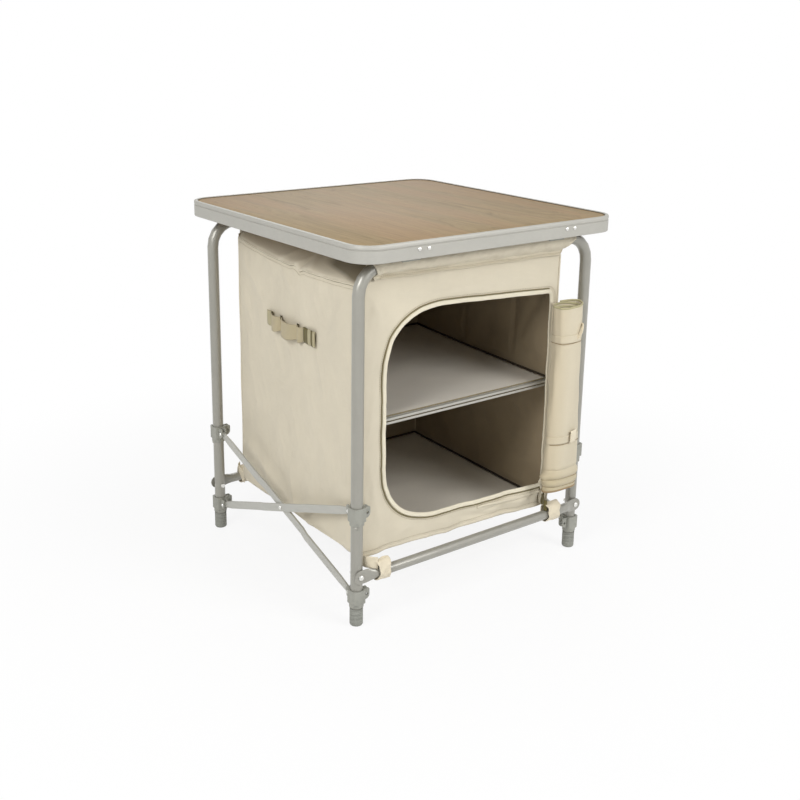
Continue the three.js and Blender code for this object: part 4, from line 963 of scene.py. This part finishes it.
def inner_seams():
    """Dark piping where the shelf and the floor meet the walls: painted shade in the gaps there. The upright
    ones in the rear corners run along Z, where a sweep without a lead has no thickness."""
    for side, label in SIDES.items():
        y = np.linspace(-228, 234, 90)
        x = wall_x(side, y, SHELF_Z + 0 * y) - side * 4.4
        piping(f"shelf_{label}_seam", xyz(x, y, 375.6), 1.9)
        y = np.linspace(-234, 234, 90)
        piping(f"floor_{label}_seam", on_wall(side, y, floor_z(side, y) + 1.6, -4.6), 2.1)
        x = corner_x(side, 1) - side * 3.4
        piping(f"inner_{label}_corner", [(x, 236.6, 111), (x, 236.6, 612)], 1.5, "rear_frame", None, "inside")
    for label, z in (("shelf", 375.5), ("floor", 109.2)):
        piping(f"{label}_rear_seam", [(REAR_L + 6, 235.4, z), (REAR_R - 6, 235.4, z)], 1.9)
    # A thin dark line along the shelf's front edge: painted shade in the gap above the rail.
    x = np.linspace(FRONT_L + 7, FRONT_R - 7, 90)
    trim("shelf_front_shade_line", xyz(x, -229.0, 375.2), oval(1.1, 1.5, 8, 0.8), "fold", "lining",
         squash=INNER_SQUASH, lead=(0, 0, 1))


def rail_groove():
    """A dark strip of painted shade at the bottom of the groove along the shelf's front rail."""
    rail = nodes["shelf_rail"]
    face = min((rail.matrix_world @ Vector(c)).y for c in rail.bound_box) * 1000
    x = np.linspace(FRONT_L + 8, FRONT_R - 8, 40)
    trim("rail_groove", xyz(x, face + 1.0, SHELF_Z - 5.5), oval(0.3, 1.1), "shadow", "rim", lead=OUT)


board("shelf_cover", "shelf_board", (SHELF_Z, SHELF_Z, SHELF_Z), -231.0, 5.6, 4, 71)
board("floor_cover", "floor_board", (FLOOR_FL, FLOOR_FR, FLOOR_REAR), -237.0, 4.0, 0, 72)
inner_seams()
rail_groove()


# Rolled-up door
ROLL_X, ROLL_Y, ROLL_TOP, ROLL_FOOT, ROLL_DEEP = 201.5, -276.5, 535.0, 161.0, 20.3
TIES = (266.0, 470.0)
DOOR_CLOTH, DOOR_EDGE_X, TURN = 1.3, 192.5, 2 * math.pi


def roll_half(z):
    """Half width of the roll at a height."""
    share = (z - ROLL_FOOT) / (ROLL_TOP - ROLL_FOOT)
    return 35 + 8.5 * np.interp(share, [0, 0.05, 0.14, 0.35, 0.7, 0.95, 1], [0.8, 0.97, 1, 0.72, 0.12, 0, 0])


def lips(z):
    """The bunched hems at the roll's foot: three soft lips with grooves between them."""
    bulge = 5.4 * bump_at(z, 193, 6.5) + 3.6 * bump_at(z, 177, 5.5)
    return bulge - 3.0 * bump_at(z, 203, 3.0) - 3.4 * bump_at(z, 185, 2.2) - 3.0 * bump_at(z, 169, 2.0)


def roll_point(turn, z, lift=0.0):
    """A place on the rolled door: turn counts from its outer end, inwards."""
    turns = turn / TURN
    pinch = sum(bump_at(z, t, 11) for t in TIES)
    swell = np.sin(z / 37 + turn) + 0.5 * np.sin(z / 13 + 3 * turn) + 0.9 * np.sin(5 * turn + z / 70)
    swell = swell + 0.5 * np.sin(9 * turn - z / 31) * np.clip((z - 150) / 200, 0.2, 1)
    swell = swell + lips(z) * np.clip(1.6 - turns, 0, 1) * (1 + 0.3 * np.sin(2 * turn + 0.6))
    flare = bump_at(turn, 4.75, 0.42) * bump_at(z, 187, 6.5)
    swell = swell + 8.5 * flare * (1 + 0.25 * np.sin(z / 1.9 + 4 * turn))
    shrink = 1 - 0.135 * turns
    a = (roll_half(z) - 1.6 * pinch + swell + lift) * shrink
    b = (ROLL_DEEP - 1.4 * pinch + 0.6 * swell + lift) * shrink
    c, s = np.cos(math.pi / 2 - turn), np.sin(math.pi / 2 - turn)
    x = ROLL_X + a * np.sign(c) * np.abs(c) ** 0.85
    return xyz(x, ROLL_Y + b * np.sign(s) * np.abs(s) ** 0.9, z)


def door_roll():
    turns = np.linspace(0, 2.9 * TURN, 200)
    foot = ROLL_FOOT + 2.2 * np.sin(turns + 0.4) + 1.6 * np.sin(turns * 2.3) + 4.0 * np.clip(turns / 18, 0, 1)
    top = ROLL_TOP - 0.6 * turns + 1.6 * np.sin(turns * 1.3)
    v = np.concatenate([np.linspace(0, 0.14, 44), np.linspace(0.14, 1, 84)[1:]])
    z = mixed(foot[:, None], top[:, None], v)
    obj = grid("rolled_door", roll_point(turns[:, None], z), ["roll"])
    sew(obj, DOOR_CLOTH, 0, node="door_roll")
    for label, z, look in (("top", top, "roll_hem"), ("foot", foot, "brown")):
        trim(f"roll_{label}_tape", roll_point(turns, z), oval(2.2, 1.5, 8, 0.8), look)
    # Thin brown lines in the grooves between the lips at the roll's foot: painted shade in the grooves.
    around = np.linspace(0.3, TURN - 0.2, 90)
    for label, z in (("upper", 185.2), ("lower", 169.2)):
        line = roll_point(around, z + 1.2 * np.sin(2 * around), 0.7)
        trim(f"roll_{label}_fold", line, oval(0.55, 0.7, 6), "brown")
    s, z = lattice((0, 1, 16), (ROLL_FOOT + 8, ROLL_TOP - 3, 150))
    outer_end = roll_point(0.02 + 0 * z, z)
    edge_x = DOOR_EDGE_X + 1.5 * np.sin(z / 41.0) - 3.5 * bump_at(z, 176, 18)
    x = mixed(outer_end[..., 0], edge_x, s) - (9 + 2.0 * np.sin(z / 19.0)) * np.sin(math.pi * s)
    y = mixed(outer_end[..., 1], -243.4, s) - 1.5 * np.sin(math.pi * s)
    obj = grid("door_attachment", xyz(x, y, z), ["roll"])
    sew(obj, DOOR_CLOTH, 0)


def tie_band(number, z):
    """A webbing band round the roll, with a dark line of painted shadow below its lower edge."""
    turns, k = lattice((0.2, TURN + 0.15, 90), (-1, 1, 9))
    P = roll_point(turns, z + k * 7.2, 1.6 - 0.5 * np.abs(k) ** 3)
    tie = turn_round(grid(f"door_tie_band_{number}", P, ["roll"]), (ROLL_X, ROLL_Y, z), (0, 1))
    sew(tie, DOOR_CLOTH, 0, node=f"door_tie_{number}")
    around = np.linspace(2.0, 4.35, 60) if number == 1 else np.linspace(1.9, 5.3, 70)
    line = roll_point(around, z - 8.4 + 0.6 * np.sin(around * 3), 1.5)
    trim(f"door_tie_{number}_edge", line, oval(0.6, 0.8, 6), "brown")


def tie_ends():
    """The lower tie's loose end, folded up over its band, and the upper tie's small loop."""
    s, v = lattice((-1, 1, 12), (0, 1, 14))
    offset, z = 11 + 8.5 * s + 1.5 * v, 259 + 24 * v + 0.8 * s
    share = np.clip(offset / roll_half(z), -0.98, 0.98)
    lift = 2.6 + 1.6 * np.sin(math.pi * v) + 0.4 * np.sin(9 * v)
    y = ROLL_Y - ROLL_DEEP * np.sqrt(1 - share ** 2) ** 0.9 - lift
    end = turn_out(grid("door_tie_1_end", xyz(ROLL_X + offset, y, z), ["web"]), OUT)
    sew(end, DOOR_CLOTH, 0)
    loop = smooth_curve([(213, -295, 470), (216, -300, 480), (219, -300.5, 490), (223, -297, 495),
                         (226, -293, 489), (225, -292, 478), (221, -294.5, 470)], 1.5)
    trim("door_tie_2_loop", loop, oval(0.8, 4.0, 16, 0.45), "web", lead=(1, -0.3, 0))


door_roll()
for number, z in enumerate(TIES, 1):
    tie_band(number, z)
tie_ends()


# Carry handles: the strap's bows run between its tacks, as shares of its half length, with their heights
HANDLE_Z, HANDLE_Y, HANDLE_HALF = 489.0, 14.0, 95.0
TACKS = (0.81, 0.41, -0.295)
BOWS = [(TACKS[0], TACKS[1], 10.0), (TACKS[1], TACKS[2], 13.0), (TACKS[2], -0.52, 8.0)]
# The front tab's dark olive is partly painted shade, cast by the strap's raised end.
TABS = (("front", -0.98, -0.53, "tab"), ("rear", 0.83, 1.02, "olive"))


def handle(side):
    """A webbing strap that bows off the wall between its stitched places, with an olive tab at each end."""

    def piece(name, y, z, lift, looks, thickness, offset=-1, node=None, paint=None):
        obj = grid(f"{SIDES[side]}_handle_{name}", on_wall(side, y, z, lift), looks)
        if paint:
            for number, face in enumerate(obj.data.polygons):
                face.material_index = paint(number)
        sew(turn_out(obj, (side, 0, 0)), thickness, offset, node=node, squash=SQUASH)
    s, k = lattice((-0.64, 0.94, 160), (-1, 1, 11))
    y = HANDLE_Y + s * HANDLE_HALF
    bow = sum(height * arch((rear - s) / (rear - front)) ** 0.75 for rear, front, height in BOWS)
    z = HANDLE_Z + 13.4 * k - 1.5 * np.cos(math.pi * s / 2) - 0.42 * bow * (1 - k) / 2 - 0.12 * bow
    lift = 2.4 + bow * (1.0 - 0.12 * k) + 0.5 * np.sin(y / 4.3 + k)
    piece("strap", y, z, lift, ["strap"], 2.0, 0, f"handle_{SIDES[side]}")
    rows, columns = 22, 12

    def stripes(number):
        share = number // (columns - 1) / (rows - 1)
        return 1 if share < 0.14 or 0.32 < share < 0.56 else 0
    for end, low, high, look in TABS:
        reach = HANDLE_HALF * (high - low) / 2
        t, k = lattice((-1, 1, rows), (-1, 1, columns))
        y = HANDLE_Y + HANDLE_HALF * (low + high) / 2 + reach * t
        lift = 5.6 - 1.0 * np.abs(k) ** 4 - 0.8 * np.abs(t) ** 4 + 0.5 * np.sin(t * 2.2 * math.pi)
        piece(f"{end}_tab", y, HANDLE_Z - 1 + 15.0 * k, lift, [look, "olive"], 1.4,
              paint=stripes if end == "front" else None)
    # Dark olive tacks at the notches between the bows: bar tacks, darkened with painted shade for the hollows
    # behind the notches.
    for number, share in enumerate(TACKS, 1):
        t, k = lattice((-3.6, 3.6, 10), (-1, 1, 8))
        lift = 2.6 + 3.2 * (1 - (t / 5.2) ** 2) - 0.9 * np.abs(k) ** 3
        y = HANDLE_Y + HANDLE_HALF * share + t
        piece(f"tack_{number}", y, HANDLE_Z + 10.5 + 4.2 * k, lift, ["tack"], 1.6)


handle(-1)
handle(1)


# Webbing loops round the crossbars
BAR_Y, BAR_Z = 262.9, 98.0


def bar_loop(end, side, x0, foot_x, foot_z, width, look="web"):
    """A slack band round the crossbar, and its tongue, which runs to the wall's lower corner."""
    name, body = f"loop_{ENDS[end][0]}{SIDES[side][0]}", f"{ENDS[end]}_frame"
    bar_y, middle_z = end * BAR_Y, BAR_Z + 4.5
    deep, tall = 12.4, 19.0
    soft = bumps(int(abs(x0)) + 5, 16)
    t, k = lattice(np.radians(np.linspace(75, 75 - 390, 84)), (-1, 1, 15))
    ruffle = 0.9 * soft(t * 12, 12.0 * k + 3) + 0.5 * np.sin(7 * t + 3 * k)
    a = (deep + ruffle) * (1 + 0.05 * np.linspace(1, 0, 84)[:, None])
    b = tall + ruffle + 1.1 * (k + 0.3 * np.sin(3 * t))
    x = x0 + width / 2 * k * (1 - 0.10 * np.cos(2 * t)) + 1.0 * soft(t * 12, 9.0 * k)
    P = xyz(x, bar_y - end * a * np.cos(t), middle_z + b * np.sin(t))
    band = turn_round(grid(name + "_band", P, ["web"]), (x0, bar_y, middle_z), (1, 2))
    sew(band, 1.6, 0,
        node=f"loop_{ENDS[end]}_{SIDES[side]}", body=body)
    inward = 1 if foot_x < x0 else -1
    ring_x = x0 - inward * (width / 2 - 2.5)
    path = smooth_curve([(ring_x, bar_y + end * 3.5, 0), (ring_x - inward * 5, bar_y + end * 0.5, 0),
                         (mixed(ring_x, foot_x, 0.75), bar_y - end * 10, 0),
                         (foot_x + inward * 2.5, end * 243.6, 0)], 1.6)
    share, k = lattice((0, 1, len(path)), (-1, 1, 13))
    x, y = path[:, :1], path[:, 1:2]
    y = y + end * (0.9 * soft(x * 0.8, 9.0 * k) + 1.2 * np.sin(3.1 * k) * share)
    P = xyz(x, y, mixed(BAR_Z + 20.0, foot_z - 2.0, share) + 11.0 * k)
    tongue = turn_out(grid(name + "_tongue", P, [look]), (0, end, 0.2))
    sew(tongue, 1.8, 0, body=body)


bar_loop(-1, -1, -224.2, FRONT_L, 122, 27)
# The front right tongue is drawn in the dark tab olive: painted shade on its underside.
bar_loop(-1, 1, 199.0, 189.0, 126, 32, "tab")
bar_loop(1, -1, -201.0, REAR_L, 102, 26)
bar_loop(1, 1, 224.2, REAR_R, 102, 26)


# Bright rivet heads on the rim's front and rear, and painted shadow in the gap inside its lip
CAP = [(0.0, 2.7), (1.6, 2.55), (3.0, 2.0), (3.95, 1.0), (4.1, 0.1), (3.0, 0.1)]
RIM_Y, RIVET_Z, BRACKET_X, RIVET_X = 300.15, 686.5, 172, 10


def rivet_cap(side, half, end):
    """A domed head, turned from its profile of radius and height. half -1 is the left one of its pair."""
    x, sides = side * BRACKET_X + half * RIVET_X, 20
    turns = np.arange(sides) * TURN / sides
    points = [(x + r * math.cos(t), end * (RIM_Y + h), RIVET_Z + r * math.sin(t))
              for r, h in CAP for t in turns]
    faces = tube_faces(len(CAP), sides, True)
    name = f"rivet_cap_{ENDS[end]}_{SIDES[side][0]}{(half + 3) // 2}"
    cap = mesh_object(name, points, faces, ["steel"], [(p[0], p[2]) for p in points])
    fix_normals(cap, weld=True)
    finish_piece(cap, "table_top")


def board_gap():
    """A dark line of painted shadow in the gap between the board and the rim's lip."""
    half, radius, z = 292.7, 38.2, 698.3
    reach = half - radius
    path = []
    for quarter, (sx, sy) in enumerate(((1, 1), (-1, 1), (-1, -1), (1, -1))):
        for a in np.linspace(0, math.pi / 2, 12) + quarter * math.pi / 2:
            path.append((sx * reach + radius * math.cos(a), sy * reach + radius * math.sin(a), z))
    path = resample(path, 8, closed=True)
    trim("board_gap", path, oval(0.8, 0.8), "shadow", "rim", "table_top", closed=True)


for end in ENDS:
    for side in SIDES:
        for half in (-1, 1):
            rivet_cap(side, half, end)
board_gap()


# The rigid pieces keep their solids: look, angle of the sharp edges in degrees, and bevel
RIGID = [
    (("_tube", "_crossbar"), "tube", 40, 0),
    (("_bar",), "bar", 36, 0.5),
    (("collar_", "slider_", "bracket_"), "plastic", 40, 0.5),
    (("foot_",), "foot", 50, 0),
    (("pin_", "bolt_", "_rivet"), "steel", 50, 0.2),
    (("table_board",), "wood", 36, 0.4),
    (("table_rim",), "rim", 40, 0),
    (("shelf_rail",), "rim", 36, 0.4),
]


def dress(obj, look, angle, bevel):
    obj.data.materials.clear()
    obj.data.materials.append(M[look])
    obj.data.polygons.foreach_set("use_smooth", [True] * len(obj.data.polygons))
    weld = obj.modifiers.new("weld", "WELD")
    weld.merge_threshold = 1e-5
    if bevel:
        mod = obj.modifiers.new("bevel", "BEVEL")
        mod.width = bevel / 1000
        mod.segments = 2
        mod.limit_method = "ANGLE"
        mod.angle_limit = math.radians(40)
        mod.use_clamp_overlap = True
    split = obj.modifiers.new("split", "EDGE_SPLIT")
    split.split_angle = math.radians(angle)
    split.use_edge_sharp = False


for name, obj in nodes.items():
    for words, look, angle, bevel in RIGID:
        if name.startswith(words) or name.endswith(words):
            dress(obj, look, angle, bevel)
            break


# Floor, background and lamps
def seen_white(g):
    """1 for camera, glossy and transmission rays, which see the background as white."""
    rays = g.node("LightPath").outputs
    glossy = g.math("MAXIMUM", rays["Is Camera Ray"], rays["Is Glossy Ray"])
    return g.math("MAXIMUM", glossy, rays["Is Transmission Ray"])


def floor():
    bpy.ops.mesh.primitive_circle_add(vertices=96, radius=14, fill_type="NGON", location=(0, 0, -0.0002))
    disc = bpy.context.object
    disc.name = "floor"
    g = Graph(bpy.data.materials.new("floor_pale"))
    pale = g.node("BsdfDiffuse", {0: (0.9, 0.9, 0.9, 1)})
    glow = g.node("Emission", {0: WHITE})
    far = g.node("VectorMath", {0: g.node("TexCoord").outputs["Object"]}, operation="LENGTH").outputs["Value"]
    fade = g.node("MapRange", {0: far, 1: 0.35, 2: 1.3, 3: 0.86, 4: 1.0}, interpolation_type="SMOOTHSTEP")
    weight = g.math("MULTIPLY", seen_white(g), fade.outputs[0])
    g.end(g.node("MixShader", {0: weight, 1: pale.outputs[0], 2: glow.outputs[0]}))
    disc.data.materials.append(g.owner)


def background():
    world = bpy.data.worlds.new("studio")
    bpy.context.scene.world = world
    g = Graph(world, "OutputWorld")
    soft = g.node("Background", {0: WHITE, 1: 0.42})
    white = g.node("Background", {0: WHITE, 1: 1.0})
    g.end(g.node("MixShader", {0: seen_white(g), 1: soft.outputs[0], 2: white.outputs[0]}))


def lamp(name, at, aim_z, size, power):
    data = bpy.data.lights.new(name, "AREA")
    data.shape = "DISK"
    data.size = size
    data.energy = power
    obj = bpy.data.objects.new(name, data)
    bpy.context.scene.collection.objects.link(obj)
    obj.location = at
    obj.rotation_mode = "QUATERNION"
    obj.rotation_quaternion = (Vector((0, 0, aim_z)) - Vector(at)).to_track_quat("-Z", "Y")


floor()
background()
lamp("key", (0.8, -2.5, 1.95), 0.38, 1.5, 42)
lamp("side", (-2.4, -0.9, 2.0), 0.38, 1.3, 40)
lamp("top", (0.1, 0.2, 2.9), 0.4, 1.6, 3)
lamp("rear", (1.6, 2.6, 1.8), 0.4, 1.6, 12)
